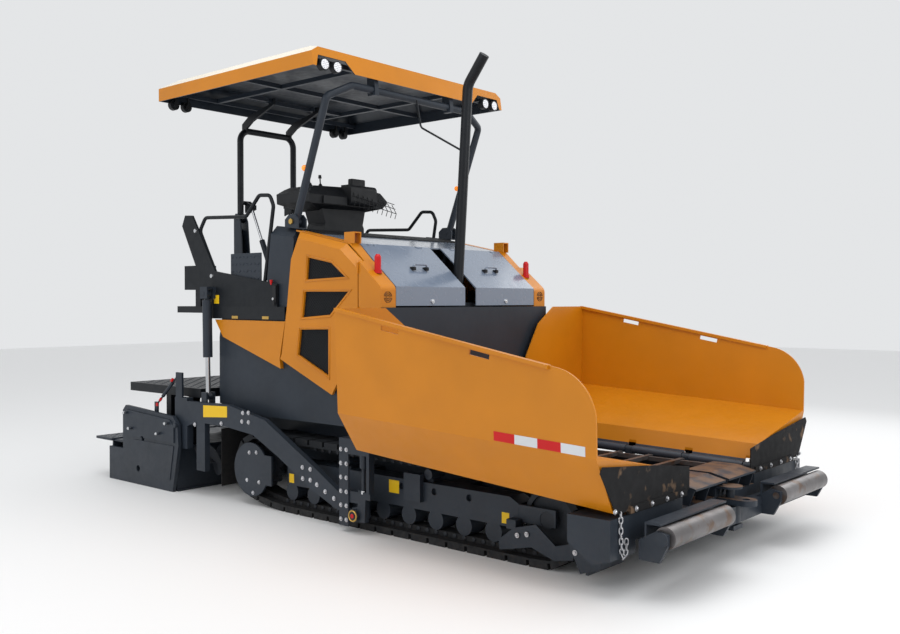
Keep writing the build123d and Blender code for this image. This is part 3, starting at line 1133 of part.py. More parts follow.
def make_extension(tube_x):
    """Right screed extension with its guide tube, end gate and walkway."""
    y0 = -GATE_Y0
    y1 = -15.0
    box = block(EXT_REAR_X, EXT_FRONT_X, y0, y1, 12, 400)
    box -= block(EXT_REAR_X + 20, EXT_FRONT_X - 20, y0 - 1, y1 - 20, 30, 380)
    box += block(EXT_REAR_X, EXT_FRONT_X, y0, y1, 0, 14)
    gate = side_plate([(-3600, 718), (-3547, 770), (-2721, 720), (-2643, 645), (-2629, 448), (-2728, 0),
                       (-3449, 0), (-3481, 325), (-3602, 330)], y0 - GATE_THICK, y0)
    outer = y0 - GATE_THICK
    gate += side_plate([(-3555, 690), (-3525, 730), (-2760, 685), (-2690, 625), (-2690, 470), (-3555, 470)],
                       outer - 12, outer)
    gate += side_plate([(-3420, 440), (-2700, 440), (-2765, 110), (-3440, 110)], outer - 7, outer)
    gate -= bar_y(-3313, 160, 32, outer - 20, y0 + 5)
    gate -= block(-3256, -3212, outer - 20, y0 - 5, 441, 485)
    gate += bar_y(-2655, 645, 24, outer - 28, outer)
    for x, z in GATE_PINS:
        gate += bar_y(x, z, 12, outer - 34, outer)
    box += gate
    box += block(-3860, -3440, y0 - GATE_THICK, y0, 0, 330)
    box += block(WALKWAY_REAR_X, EXT_REAR_X + 40, y0 - GATE_THICK, y1, 385, 410)
    return box + bar_y(tube_x, GUIDE_Z, GUIDE_R, y0 - 5, 1150)


def make_auger():
    """Right auger: shaft with a helical flight."""
    length = AUGER_Y1 - AUGER_Y0
    shaft = bar_y(AUGER_X, AUGER_Z, AUGER_SHAFT_R, -AUGER_Y1, -AUGER_Y0)
    path = Helix(pitch=AUGER_PITCH, height=length - 90, radius=(AUGER_R + AUGER_SHAFT_R) / 2)
    width = AUGER_R - AUGER_SHAFT_R + 16
    profile = Plane(path @ 0, x_dir=(1, 0, 0), z_dir=(0, 1, 0)) * Rectangle(width, AUGER_FLIGHT)
    flight = sweep(profile, path=path, is_frenet=True)
    return shaft + Pos(AUGER_X, -AUGER_Y0 - 60, AUGER_Z) * Rot(90, 0, 0) * flight


def make_auger_frame():
    """Centre gear case and hanger plates of the augers."""
    case = block(AUGER_X - 90, CHASSIS_REAR_X, -AUGER_CASE_HALF, AUGER_CASE_HALF, 150, 620)
    bore = bar_y(AUGER_X, AUGER_Z, AUGER_SHAFT_R + PIN_GAP, -AUGER_CASE_HALF - 1, -AUGER_Y0 + 2)
    case -= bore
    case -= other_side(bore)
    return case + block(AUGER_X - 60, CHASSIS_REAR_X, -FRAME_HALF, FRAME_HALF, 620, 760)


def make_engine():
    """The enclosed engine, one plain mass."""
    return block(-1120, -210, -420, 420, FRAME_TOP_Z + SEAT_GAP, ENGINE_TOP_Z)


wing_right = make_wing()
lid_right = make_lid()
door_right = make_door()
grilles_right = make_door_grilles()
arm_right = make_arm()
barrel_right = make_lift_barrel()
rod_right = make_lift_rod()
auger_right = make_auger()
roller_right = make_push_roller()
seat_base, seat_pad = make_seat()

NODES = {
    "track_right": make_track(),
    "track_left": other_side(make_track()),
    "track_frames": both_sides(make_track_frame()),
    "track_wheels": group(*[both_sides(wheel) for wheel in (make_idler(), make_sprocket())]),
    "final_drives": both_sides(make_final_drive()),
    "main_frame": make_main_frame(),
    "front_frame": make_front_frame(),
    "roller_beam": make_roller_beam(),
    "push_roller_right": roller_right,
    "push_roller_left": other_side(roller_right),
    "hopper_aprons": both_sides(make_apron()),
    "wing_hinge_pins": both_sides(make_hinge_pins()),
    "hopper_wing_right": wing_right,
    "hopper_wing_left": other_side(wing_right),
    "hopper_back_wall": make_back_wall(),
    "conveyors": both_sides(make_conveyor()),
    "side_tanks": both_sides(make_side_tank()),
    "operator_deck": make_deck(),
    "deck_shields": both_sides(make_shield()),
    "deck_handrails": both_sides(make_handrail()),
    "cowl_columns": both_sides(make_hood_sides()),
    "cowl_corners": both_sides(make_cowl_front()),
    "hood_top": make_hood_top(),
    "hood_lid_right": lid_right,
    "hood_lid_left": other_side(lid_right),
    "side_door_right": door_right,
    "side_door_left": other_side(door_right),
    "door_grilles_right": grilles_right,
    "door_grilles_left": other_side(grilles_right),
    "exhaust_stack": make_exhaust(),
    "canopy_front_frame": make_front_posts(),
    "canopy_brackets": both_sides(make_post_brackets()),
    "canopy_rear_frame": make_rear_frame(),
    "canopy_rear_posts": both_sides(make_rear_posts()),
    "canopy_roof": make_roof(),
    "canopy_rafters": make_roof_frame(),
    "operator_console": make_console(),
    "seat_base": seat_base,
    "seat_cushion": seat_pad,
    "tow_towers": both_sides(make_tower()),
    "tow_arms": both_sides(arm_right),
    "lift_barrel_right": barrel_right,
    "lift_barrel_left": other_side(barrel_right),
    "lift_rod_right": rod_right,
    "lift_rod_left": other_side(rod_right),
    "lift_brackets": both_sides(make_lift_brackets()),
    "screed_main": make_screed_main() + make_screed_guides(),
    "screed_cover": make_screed_cover(),
    "screed_extension_right": make_extension(GUIDE_RIGHT_X),
    "screed_extension_left": other_side(make_extension(GUIDE_LEFT_X)),
    "auger_right": auger_right,
    "auger_left": other_side(auger_right),
    "auger_frame": make_auger_frame(),
    "engine_block": make_engine(),
    "roof_lamps": make_roof_lamps(),
    "marker_lamps": make_front_beacons(),
    "canopy_barrels": make_canopy_barrels(),
    "canopy_rods": make_canopy_rods(),
    "lower_trims": both_sides(make_trim()),
}

# The stored origin is under the middle of the whole machine
ORIGIN_X = (PUSH_ROLLER_X + PUSH_ROLLER_R + WALKWAY_REAR_X) / 2
for name, shape in NODES.items():
    export_step(Pos(-ORIGIN_X, 0, 0) * shape, f"parts/{name}.step")
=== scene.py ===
# %% [markdown]
# A tracked asphalt paver, dressed for a studio picture. The solids come packed, with one object
# for each sub-part, and this file gives them paint, wear, small fittings, a camera and light.
# Everything is in metres, with X forward to the hopper, Y to the machine's left and Z up.

# %% Load the frame
import json
import math
import bmesh
import bpy
from mathutils import Matrix, Vector


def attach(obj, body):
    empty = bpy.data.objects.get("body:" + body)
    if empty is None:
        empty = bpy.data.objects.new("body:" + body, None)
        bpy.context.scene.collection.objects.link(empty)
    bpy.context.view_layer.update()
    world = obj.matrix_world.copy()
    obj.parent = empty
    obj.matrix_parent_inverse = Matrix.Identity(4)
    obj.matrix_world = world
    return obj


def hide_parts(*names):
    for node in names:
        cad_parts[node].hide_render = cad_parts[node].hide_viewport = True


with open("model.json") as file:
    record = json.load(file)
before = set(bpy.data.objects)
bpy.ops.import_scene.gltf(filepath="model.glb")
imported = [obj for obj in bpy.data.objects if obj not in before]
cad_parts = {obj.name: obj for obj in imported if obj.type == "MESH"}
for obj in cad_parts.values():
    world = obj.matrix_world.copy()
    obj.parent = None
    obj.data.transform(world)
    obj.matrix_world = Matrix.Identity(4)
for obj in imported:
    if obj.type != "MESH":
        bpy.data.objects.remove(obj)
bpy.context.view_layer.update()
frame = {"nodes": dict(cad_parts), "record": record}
NODES = frame["nodes"]
print("sub-parts in the frame:", len(NODES))

# %% [markdown]
# The camera stands at the front right corner at eye height and looks slightly down, as the
# photographer did. Its place, turn and lens were fitted to the machine's edges in the picture, so
# that the render and the picture can be laid over each other.

# %% Camera
CAMERA_PLACE = (6.01, -6.46, 1.82)
CAMERA_TURN = math.radians(40.77)
CAMERA_DIP = math.radians(1.0)
CAMERA_LENS = 38.44
SENSOR_WIDTH = 36.0
camera_data = bpy.data.cameras.new("camera")
camera_data.lens = CAMERA_LENS
camera_data.sensor_width = SENSOR_WIDTH
camera = bpy.data.objects.new("camera", camera_data)
camera.location = CAMERA_PLACE
camera.rotation_euler = (math.pi / 2 - CAMERA_DIP, 0.0, CAMERA_TURN)
bpy.context.scene.collection.objects.link(camera)
bpy.context.scene.camera = camera
print("camera at", CAMERA_PLACE)

# %% [markdown]
# A product photograph on white is lit by large soft boxes. Four area lamps stand in for them:
# one over the machine, one in front, one at the near side and one at the far side, so that the
# dark paint still shows its edges. The world is nearly white and fills the shadows, and the plain
# view transform keeps the orange as strong as the picture shows it.

# %% Light and floor
SOFT_BOXES = [
    ("overhead", (1.0, -1.5, 8.5), (0.0, 0.0, 1.0), 7.0, 300.0),
    ("front", (9.0, -1.0, 4.5), (1.5, 0.0, 1.0), 4.0, 130.0),
    ("side", (-1.5, -9.0, 4.0), (-0.5, 0.0, 1.2), 5.0, 90.0),
    ("far_side", (2.0, 8.0, 5.0), (0.5, 0.0, 1.5), 5.0, 110.0),
]
WORLD_TINT = (0.97, 0.985, 1.0, 1.0)
WORLD_LIGHT = 0.80
FLOOR_HALF = 30.0
FLOOR_TINT = 0.86
FLOOR_ROUGH = 0.7
FLOOR_SPECULAR = 0.2


def soft_box(name, place, target, size, power):
    """A square lamp that faces its target."""
    lamp_data = bpy.data.lights.new(name, "AREA")
    lamp_data.energy = power
    lamp_data.size = size
    lamp = bpy.data.objects.new(name, lamp_data)
    lamp.location = place
    lamp.rotation_euler = (Vector(target) - Vector(place)).to_track_quat("-Z", "Y").to_euler()
    bpy.context.scene.collection.objects.link(lamp)


for box in SOFT_BOXES:
    soft_box(*box)
world = bpy.data.worlds.new("studio")
world.use_nodes = True
world.node_tree.nodes["Background"].inputs["Color"].default_value = WORLD_TINT
world.node_tree.nodes["Background"].inputs["Strength"].default_value = WORLD_LIGHT
bpy.context.scene.world = world
bpy.context.scene.view_settings.view_transform = "Standard"
floor_mesh = bpy.data.meshes.new("floor")
floor_mesh.from_pydata([(-FLOOR_HALF, -FLOOR_HALF, 0), (FLOOR_HALF, -FLOOR_HALF, 0),
                        (FLOOR_HALF, FLOOR_HALF, 0), (-FLOOR_HALF, FLOOR_HALF, 0)], [], [(0, 1, 2, 3)])
floor = bpy.data.objects.new("floor", floor_mesh)
bpy.context.scene.collection.objects.link(floor)
floor_paint = bpy.data.materials.new("studio_floor")
floor_paint.use_nodes = True
floor_shader = floor_paint.node_tree.nodes["Principled BSDF"]
floor_shader.inputs["Base Color"].default_value = (FLOOR_TINT, FLOOR_TINT, FLOOR_TINT, 1.0)
floor_shader.inputs["Roughness"].default_value = FLOOR_ROUGH
floor_shader.inputs["Specular IOR Level"].default_value = FLOOR_SPECULAR
floor_mesh.materials.append(floor_paint)
print("soft boxes:", len(SOFT_BOXES))

# %% [markdown]
# Paint on a machine is never one flat colour. Each finish starts from a base colour, moves a
# little lighter and darker in large soft patches, gathers dust low down, and its gloss varies
# with a fine noise. One helper builds that tree, and each finish only names its numbers. Some
# solids carry two colours, so a helper can also lay a second colour over a part of the surface.
# The same helper also lays a painted highlight on the roof's top: a pale colour for a reflection.
# Object coordinates are used, because a node's own mesh holds its place on the machine.

# %% Finish helper
def pick(sockets):
    """The one socket that is in use on a node with several kinds."""
    return [socket for socket in sockets if socket.enabled][0]


def add_node(tree, kind, values=(), **settings):
    """A node with its settings. Its inputs are linked to sockets or set to plain values."""
    node = tree.nodes.new(kind)
    for name, value in settings.items():
        setattr(node, name, value)
    for key, value in dict(values).items():
        alike = [socket for socket in node.inputs if socket.name == key]
        socket = pick(alike) if len(alike) > 1 else node.inputs[key]
        if isinstance(value, bpy.types.NodeSocket):
            tree.links.new(value, socket)
        else:
            socket.default_value = value
    return node


def calculate(tree, operation, first, second):
    """A Math node's result."""
    return add_node(tree, "ShaderNodeMath", {0: first, 1: second}, operation=operation).outputs[0]


def colour_mix(tree, factor, first, second):
    """A mix of two colours."""
    mix = add_node(tree, "ShaderNodeMix", {"Factor": factor, "A": first, "B": second}, data_type="RGBA")
    return pick(mix.outputs)


def noise(tree, place, scale, detail=3.0):
    """A noise texture's value at a place socket."""
    values = {"Scale": scale, "Detail": detail, "Vector": place}
    return add_node(tree, "ShaderNodeTexNoise", values).outputs["Fac"]


def spread(tree, value, low, high, to_low, to_high):
    """A value mapped from one range to another."""
    values = {"From Min": low, "From Max": high, "To Min": to_low, "To Max": to_high, "Value": value}
    return add_node(tree, "ShaderNodeMapRange", values).outputs["Result"]


def between(tree, coords, limits):
    """1 where the surface lies within every limit, else 0.

    X and Z are places, W is the distance from the middle plane, and UP is how far a face looks up.
    """
    place = add_node(tree, "ShaderNodeSeparateXYZ", {0: coords.outputs["Object"]})
    normal = add_node(tree, "ShaderNodeSeparateXYZ", {0: coords.outputs["Normal"]})
    values = {"X": place.outputs["X"], "Z": place.outputs["Z"], "UP": normal.outputs["Z"],
              "W": calculate(tree, "ABSOLUTE", place.outputs["Y"], 0.0)}
    share = None
    for axis, low, high in limits:
        part = calculate(tree, "MULTIPLY", calculate(tree, "GREATER_THAN", values[axis], low),
                         calculate(tree, "LESS_THAN", values[axis], high))
        share = part if share is None else calculate(tree, "MULTIPLY", share, part)
    return share


def shade(colour, share):
    """A colour made lighter above 1 or darker below 1."""
    return tuple(min(1.0, c * share) for c in colour[:3]) + (1.0,)


DUST_TINT = (0.23, 0.20, 0.17, 1.0)
DUST_TOP = 0.75
DUST_SCALE = 35.0
PATCH_SCALE = 2.5
SCUFF_SCALE = 9.0
GLOSS_SCALE = 14.0
GLOSS_RANGE = 0.07
BUMP_DEPTH = 0.002
COAT_ROUGH = 0.12


def finish(name, colour, rough, metal=0.0, coat=0.0, patch=0.08, grain=0.0, grain_scale=300.0,
           dust=0.0, specular=0.5, glow=0.0, zones=(), wear=()):
    """A procedural finish. zones lay other colours over limits, and wear lays them through noise."""
    material = bpy.data.materials.new(name)
    material.use_nodes = True
    tree = material.node_tree
    shader = tree.nodes["Principled BSDF"]
    coords = tree.nodes.new("ShaderNodeTexCoord")
    place = coords.outputs["Object"]
    patches = spread(tree, noise(tree, place, PATCH_SCALE), 0.3, 0.7, 0.0, 1.0)
    tint = colour_mix(tree, patches, shade(colour, 1.0 - patch), shade(colour, 1.0 + patch))
    for limits, other in zones:
        two = colour_mix(tree, patches, shade(other, 1.0 - patch), shade(other, 1.0 + patch))
        tint = colour_mix(tree, between(tree, coords, limits), tint, two)
    for limits, other, amount in wear:
        scuffs = spread(tree, noise(tree, place, SCUFF_SCALE, 8.0), 0.62 - 0.3 * amount,
                        0.72 - 0.2 * amount, 0.0, 0.9)
        share = calculate(tree, "MULTIPLY", between(tree, coords, limits), scuffs)
        tint = colour_mix(tree, share, tint, shade(other, 1.0))
    if dust > 0.0:
        height = add_node(tree, "ShaderNodeSeparateXYZ", {0: place})
        low = spread(tree, height.outputs["Z"], 0.0, DUST_TOP, dust, 0.0)
        speckle = spread(tree, noise(tree, place, DUST_SCALE, 6.0), 0.35, 0.75, 0.2, 1.0)
        tint = colour_mix(tree, calculate(tree, "MULTIPLY", low, speckle), tint, DUST_TINT)
    tree.links.new(tint, shader.inputs["Base Color"])
    gloss = spread(tree, noise(tree, place, GLOSS_SCALE, 5.0), 0.3, 0.7, max(0.02, rough - GLOSS_RANGE),
                   min(1.0, rough + GLOSS_RANGE))
    tree.links.new(gloss, shader.inputs["Roughness"])
    numbers = {"Metallic": metal, "Coat Weight": coat, "Coat Roughness": COAT_ROUGH,
               "Specular IOR Level": specular}
    if glow > 0.0:
        numbers.update({"Emission Color": shade(colour, 1.0), "Emission Strength": glow})
    for label, number in numbers.items():
        shader.inputs[label].default_value = number
    if grain > 0.0:
        bump = add_node(tree, "ShaderNodeBump", {"Strength": grain, "Distance": BUMP_DEPTH,
                                                 "Height": noise(tree, place, grain_scale, 2.0)})
        tree.links.new(bump.outputs["Normal"], shader.inputs["Normal"])
    return material


# %% [markdown]
# The machine has few finishes: orange and blue-grey paint, black trim, bright worn steel where
# asphalt scrubs it, cast iron, chrome rods, rubber and plastic. Each colour was matched to a few
# lit and shaded spots of the picture. Dark paint keeps a low reflection, because the
# pale studio would wash it out.

# %% Finishes
ORANGE_TINT = (0.56, 0.195, 0.004)
GREY_TINT = (0.020, 0.027, 0.038)
BLACK_TINT = (0.006, 0.008, 0.011)
HOOD_TINT = (0.17, 0.21, 0.28)
RUST_TINT = (0.13, 0.075, 0.045)
HINGE_TINT = (0.035, 0.042, 0.056)
# The pale cream of the roof's top is a painted highlight. It stands in for the studio's reflection in the
# glossy orange.
ROOF_TOP_HIGHLIGHT_TINT = (0.72, 0.66, 0.55)
PANEL_TINT = (0.10, 0.125, 0.16)
APRON_WEAR_TINT = (0.16, 0.10, 0.06)
LOOKS_UP = ("UP", 0.5, 1.1)
LOOKS_DOWN = ("UP", -1.1, -0.2)
LOOKS_ASIDE = ("UP", -0.2, 0.5)
HINGE_ZONES = [([("W", 0.0, 0.657)], HINGE_TINT)]
# Roof faces that look up get the painted highlight. Faces that look down, and the inner sides, get the
# underside's own grey.
ROOF_ZONES = [([LOOKS_UP], ROOF_TOP_HIGHLIGHT_TINT), ([LOOKS_DOWN], GREY_TINT),
              ([("W", 0.0, 1.243), LOOKS_ASIDE, ("X", -2.185, 0.022)], GREY_TINT)]
SHIELD_ZONES = [([("W", 0.90, 1.0895), ("Z", 1.90, 2.30)], PANEL_TINT)]
NOSE_WEAR = [([("UP", 0.6, 1.1), ("Z", 0.40, 0.60), ("W", 0.0, 0.60)], RUST_TINT, 0.9)]
APRON_WEAR = [([("Z", 0.50, 0.90), ("X", 2.9, 3.1)], APRON_WEAR_TINT, 0.06)]
STEEL_WEAR = [([("Z", -1.0, 5.0)], RUST_TINT, 0.35)]
ORANGE = finish("orange_paint", ORANGE_TINT, 0.36, coat=0.12, patch=0.05, grain=0.04,
                grain_scale=90.0, specular=0.3)
WING_PAINT = finish("wing_paint", ORANGE_TINT, 0.40, coat=0.08, patch=0.05, grain=0.04,
                    grain_scale=90.0, specular=0.3, zones=HINGE_ZONES)
# The roof's finish lays the painted highlight on its upward faces.
ROOF_PAINT_AND_HIGHLIGHT = finish("roof_paint_and_highlight", ORANGE_TINT, 0.40, coat=0.1, patch=0.05, specular=0.3,
                    zones=ROOF_ZONES)
GREY_PAINT = finish("blue_grey_paint", GREY_TINT, 0.45, coat=0.04, patch=0.12, grain=0.06,
                    dust=0.05, specular=0.28)
FLOOR_PLATE_PAINT = finish("worn_grey_paint", GREY_TINT, 0.45, patch=0.12, grain=0.08, dust=0.05,
                           specular=0.3, wear=NOSE_WEAR)
BLACK_PAINT = finish("black_paint", BLACK_TINT, 0.45, coat=0.03, patch=0.15, grain=0.06,
                     specular=0.25)
SHIELD_PAINT = finish("shield_paint", BLACK_TINT, 0.5, patch=0.15, specular=0.25,
                      zones=SHIELD_ZONES)
HOOD_PAINT = finish("hood_paint", HOOD_TINT, 0.24, coat=0.6, patch=0.03, specular=0.6)
RUBBER = finish("rubber", (0.010, 0.010, 0.011), 0.75, patch=0.2, grain=0.35, grain_scale=220.0,
                dust=0.06, specular=0.2, wear=APRON_WEAR)
TRACK_RUBBER = finish("track_rubber", (0.008, 0.010, 0.013), 0.7, patch=0.25, grain=0.4,
                      grain_scale=160.0, dust=0.12, specular=0.22)
WORN_STEEL = finish("worn_steel", (0.16, 0.15, 0.15), 0.36, metal=0.7, patch=0.25, grain=0.2,
                    grain_scale=60.0, wear=STEEL_WEAR)
CAST_IRON = finish("cast_iron", (0.020, 0.024, 0.031), 0.6, patch=0.2, grain=0.4,
                   grain_scale=140.0, dust=0.06, specular=0.3)
CHROME = finish("chrome_rod", (0.62, 0.63, 0.65), 0.12, metal=1.0, patch=0.03)
ZINC = finish("zinc_bolt", (0.55, 0.55, 0.57), 0.32, metal=0.9, patch=0.1)
BRASS = finish("brass", (0.60, 0.38, 0.10), 0.3, metal=0.9, patch=0.1)
PLASTIC = finish("black_plastic", (0.008, 0.009, 0.011), 0.5, patch=0.1, grain=0.3,
                 grain_scale=500.0, specular=0.3)
VINYL = finish("seat_vinyl", (0.010, 0.010, 0.011), 0.48, patch=0.12, grain=0.35,
               grain_scale=260.0)
AMBER = finish("amber_lens", (0.95, 0.25, 0.01), 0.18, coat=1.0, patch=0.1, glow=0.7)
LAMP_GLASS = finish("lamp_glass", (0.80, 0.82, 0.85), 0.15, coat=1.0, patch=0.02, glow=0.25)
YELLOW = finish("yellow_plate", (0.80, 0.50, 0.01), 0.4, patch=0.03, specular=0.3)
RED = finish("red_paint", (0.55, 0.006, 0.008), 0.35, patch=0.05, specular=0.3)
WHITE = finish("white_tape", (0.62, 0.64, 0.67), 0.4, patch=0.03)
BY_SLOT = {
    "orange": ORANGE, "dark_grey": GREY_PAINT, "black": BLACK_PAINT, "hood_grey": HOOD_PAINT,
    "track": TRACK_RUBBER, "steel": WORN_STEEL, "cast": CAST_IRON, "chrome": CHROME, "rubber": RUBBER,
    "plastic": PLASTIC, "seat": VINYL, "amber": AMBER, "lamp": PLASTIC,
}
BY_NODE = {
    "hopper_wing_right": WING_PAINT, "hopper_wing_left": WING_PAINT, "canopy_roof": ROOF_PAINT_AND_HIGHLIGHT,
    "front_frame": FLOOR_PLATE_PAINT, "deck_shields": SHIELD_PAINT,
}
print("finishes:", len(set(BY_SLOT.values()) | set(BY_NODE.values())))

# %% [markdown]
# Each sub-part names its material slot in the record. The finish goes on the object's own
# slots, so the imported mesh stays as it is.

# %% Paint the sub-parts
for part in frame["record"]["subparts"]:
    node = NODES[part["node"]]
    paint = BY_NODE.get(part["node"], BY_SLOT[part["material_slot"]])
    for place in node.material_slots:
        place.material = paint
    if not node.material_slots:
        node.data.materials.append(paint)

# %% [markdown]
# Small fittings are given in the same millimetres as the drawings, counted from the middle of the
# track's ground contact. A few helpers turn such numbers into meshes, join them in one piece for
# each body and finish, and say which body carries the piece.

# %% Piece helpers
GROUND_X = 0.810
SIDES = (-1, 1)
SIDE_NAMES = {-1: "right", 1: "left"}
PER_METRE = 1000
FORWARD = (1, 0, 0)
UPWARD = (0, 0, 1)


def at(x, y, z):
    """A point of the drawings, in metres in the row's frame."""
    return Vector((x / PER_METRE + GROUND_X, y / PER_METRE, z / PER_METRE))


def add_block(form, low, high, bevel=2.0):
    """A box between two corners in drawing millimetres, with its edges eased."""
    a = at(*low)
    b = at(*high)
    size = Vector([abs(d) for d in b - a])
    place = Matrix.Translation((a + b) / 2) @ Matrix.Diagonal(size).to_4x4()
    made = bmesh.ops.create_cube(form, size=1.0, matrix=place)
    edges = list({edge for corner in made["verts"] for edge in corner.link_edges})
    bmesh.ops.bevel(form, geom=edges, offset=bevel / PER_METRE, segments=1, affect="EDGES")


def add_rod(form, start, end, radius, radius_end=None, sides=16):
    """A round bar or cone between two points in drawing millimetres."""
    a = at(*start)
    b = at(*end)
    turn = (b - a).to_track_quat("Z", "Y").to_matrix().to_4x4()
    if radius_end is None:
        radius_end = radius
    bmesh.ops.create_cone(form, cap_ends=True, segments=sides, radius1=radius / PER_METRE,
                          radius2=radius_end / PER_METRE, depth=(b - a).length,
                          matrix=Matrix.Translation((a + b) / 2) @ turn)


def add_plate(form, corners, thick):
    """A flat plate from its corners in drawing millimetres, thick along its own normal."""
    points = [at(*corner) for corner in corners]
    normal = (points[1] - points[0]).cross(points[2] - points[1]).normalized() * (thick / PER_METRE)
    below = [form.verts.new(point) for point in points]
    above = [form.verts.new(point + normal) for point in points]
    form.faces.new(below)
    form.faces.new(above)
    for i in range(len(points)):
        k = (i + 1) % len(points)
        form.faces.new((below[i], below[k], above[k], above[i]))


def add_ring(form, centre, axis, radius, thick, turns=(0.0, 360.0), steps=24, sides=8):
    """A round ring or arc of wire about an axis, in drawing millimetres."""
    middle = at(*centre)
    turn = Vector(axis).to_track_quat("Z", "Y").to_matrix()
    closed = abs(turns[1] - turns[0]) >= 360.0
    count = steps if closed else steps + 1
    rows = []
    for i in range(count):
        angle = math.radians(turns[0] + (turns[1] - turns[0]) * i / steps)
        row = []
        for k in range(sides):
            spin = 2 * math.pi * k / sides
            reach = (radius + thick * math.cos(spin)) / PER_METRE
            local = Vector((reach * math.cos(angle), reach * math.sin(angle),
                            thick / PER_METRE * math.sin(spin)))
            row.append(form.verts.new(middle + turn @ local))
        rows.append(row)
    for i in range(count if closed else count - 1):
        a = rows[i]
        b = rows[(i + 1) % count]
        for k in range(sides):
            form.faces.new((a[k], a[(k + 1) % sides], b[(k + 1) % sides], b[k]))
    if not closed:
        form.faces.new(rows[0])
        form.faces.new(rows[-1])


def add_pair(add, form, start, end, *sizes, **more):
    """The same block or rod on both sides of the machine, from its two ends on the left side."""
    for side in SIDES:
        add(form, (start[0], side * start[1], start[2]), (end[0], side * end[1], end[2]), *sizes, **more)


def settle(name, mesh, material, body, smooth=False):
    """An object for a finished mesh, riding on its body."""
    if not mesh.materials:
        mesh.materials.append(material)
    if smooth:
        for face in mesh.polygons:
            face.use_smooth = True
    piece = bpy.data.objects.new(name, mesh)
    bpy.context.scene.collection.objects.link(piece)
    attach(piece, body)
    return piece


def build(name, fill, material, body, smooth=False):
    """A piece whose shape is drawn by the fill function."""
    form = bmesh.new()
    fill(form)
    bmesh.ops.recalc_face_normals(form, faces=form.faces)
    mesh = bpy.data.meshes.new(name)
    form.to_mesh(mesh)
    form.free()
    return settle(name, mesh, material, body, smooth)


print("drawing zero lies at x", GROUND_X)

# %% [markdown]
# Bolts, tread lugs, lamp cells and track pins are the same small shape many times over. Geometry
# Nodes set one on every point of a loose mesh, turned to the direction that each point carries.
# The result becomes plain mesh, because an export drops instances.

# %% Geometry node helpers
def new_tree(name, inputs):
    """A geometry tree with named inputs, and its two end nodes."""
    tree = bpy.data.node_groups.new(name, "GeometryNodeTree")
    tree.interface.new_socket("Geometry", in_out="INPUT", socket_type="NodeSocketGeometry")
    tree.interface.new_socket("Geometry", in_out="OUTPUT", socket_type="NodeSocketGeometry")
    for label, kind in inputs + [("Finish", "Material")]:
        tree.interface.new_socket(label, in_out="INPUT", socket_type="NodeSocket" + kind)
    return tree, tree.nodes.new("NodeGroupInput"), tree.nodes.new("NodeGroupOutput")


def end_tree(tree, source, sink, made):
    """Makes the instances real, gives them the finish and ends the tree."""
    real = add_node(tree, "GeometryNodeRealizeInstances", {0: made})
    paint = add_node(tree, "GeometryNodeSetMaterial",
                     {"Geometry": real.outputs[0], "Material": source.outputs["Finish"]})
    tree.links.new(paint.outputs[0], sink.inputs[0])


def grow(name, seed_mesh, tree, settings, material, body, smooth=False):
    """A plain mesh piece that a tree makes from a seed mesh of points or edges."""
    seed = bpy.data.objects.new(name + "_seed", seed_mesh)
    bpy.context.scene.collection.objects.link(seed)
    modifier = seed.modifiers.new("grow", "NODES")
    modifier.node_group = tree
    values = dict(settings, Finish=material)
    for item in tree.interface.items_tree:
        if item.item_type == "SOCKET" and item.in_out == "INPUT" and item.name in values:
            modifier[item.identifier] = values[item.name]
    grown = bpy.data.meshes.new_from_object(seed.evaluated_get(bpy.context.evaluated_depsgraph_get()))
    grown.name = name
    seed.modifiers.clear()
    bpy.data.objects.remove(seed)
    return settle(name, grown, material, body, smooth)


def points_mesh(spots):
    """A loose mesh of points, each with the way it faces and how far it is turned."""
    mesh = bpy.data.meshes.new("spots")
    mesh.from_pydata([at(*spot[0]) for spot in spots], [], [])
    mesh.attributes.new("facing", "FLOAT_VECTOR", "POINT")
    mesh.attributes.new("turn", "FLOAT", "POINT")
    for i, spot in enumerate(spots):
        mesh.attributes["facing"].data[i].vector = spot[1]
        mesh.attributes["turn"].data[i].value = spot[2] if len(spot) > 2 else 0.0
    return mesh


def edges_mesh(paths, closed=False):
    """A mesh of edges that follow the paths, in drawing millimetres."""
    corners = []
    edges = []
    for path in paths:
        first = len(corners)
        corners.extend(at(*point) for point in path)
        edges.extend((first + i, first + i + 1) for i in range(len(path) - 1))
        if closed:
            edges.append((len(corners) - 1, first))
    mesh = bpy.data.meshes.new("paths")
    mesh.from_pydata(corners, edges, [])
    return mesh


def turned(tree, rotation, angle):
    """A rotation followed by a spin about its own Z axis."""
    join = add_node(tree, "ShaderNodeCombineXYZ", {"Z": angle})
    spin = add_node(tree, "FunctionNodeEulerToRotation", {0: join.outputs[0]})
    both = add_node(tree, "FunctionNodeRotateRotation", {0: rotation, 1: spin.outputs[0]},
                    rotation_space="LOCAL")
    return both.outputs[0]


def facing_turn(tree):
    """The rotation that a point's own attributes ask for."""
    facing = add_node(tree, "GeometryNodeInputNamedAttribute", {"Name": "facing"}, data_type="FLOAT_VECTOR")
    turn = add_node(tree, "GeometryNodeInputNamedAttribute", {"Name": "turn"})
    align = add_node(tree, "FunctionNodeAlignRotationToVector", {"Vector": pick(facing.outputs)}, axis="Z")
    return turned(tree, align.outputs[0], pick(turn.outputs))


def on_points(tree, points, shape, rotation):
    """One shape on every point, each with its rotation."""
    values = {"Points": points, "Instance": shape, "Rotation": rotation}
    return add_node(tree, "GeometryNodeInstanceOnPoints", values).outputs[0]


def scatter(tree, source, sink, shape):
    """Ends a tree with its shape on every point of the seed, turned as the point asks."""
    end_tree(tree, source, sink, on_points(tree, source.outputs["Geometry"], shape, facing_turn(tree)))


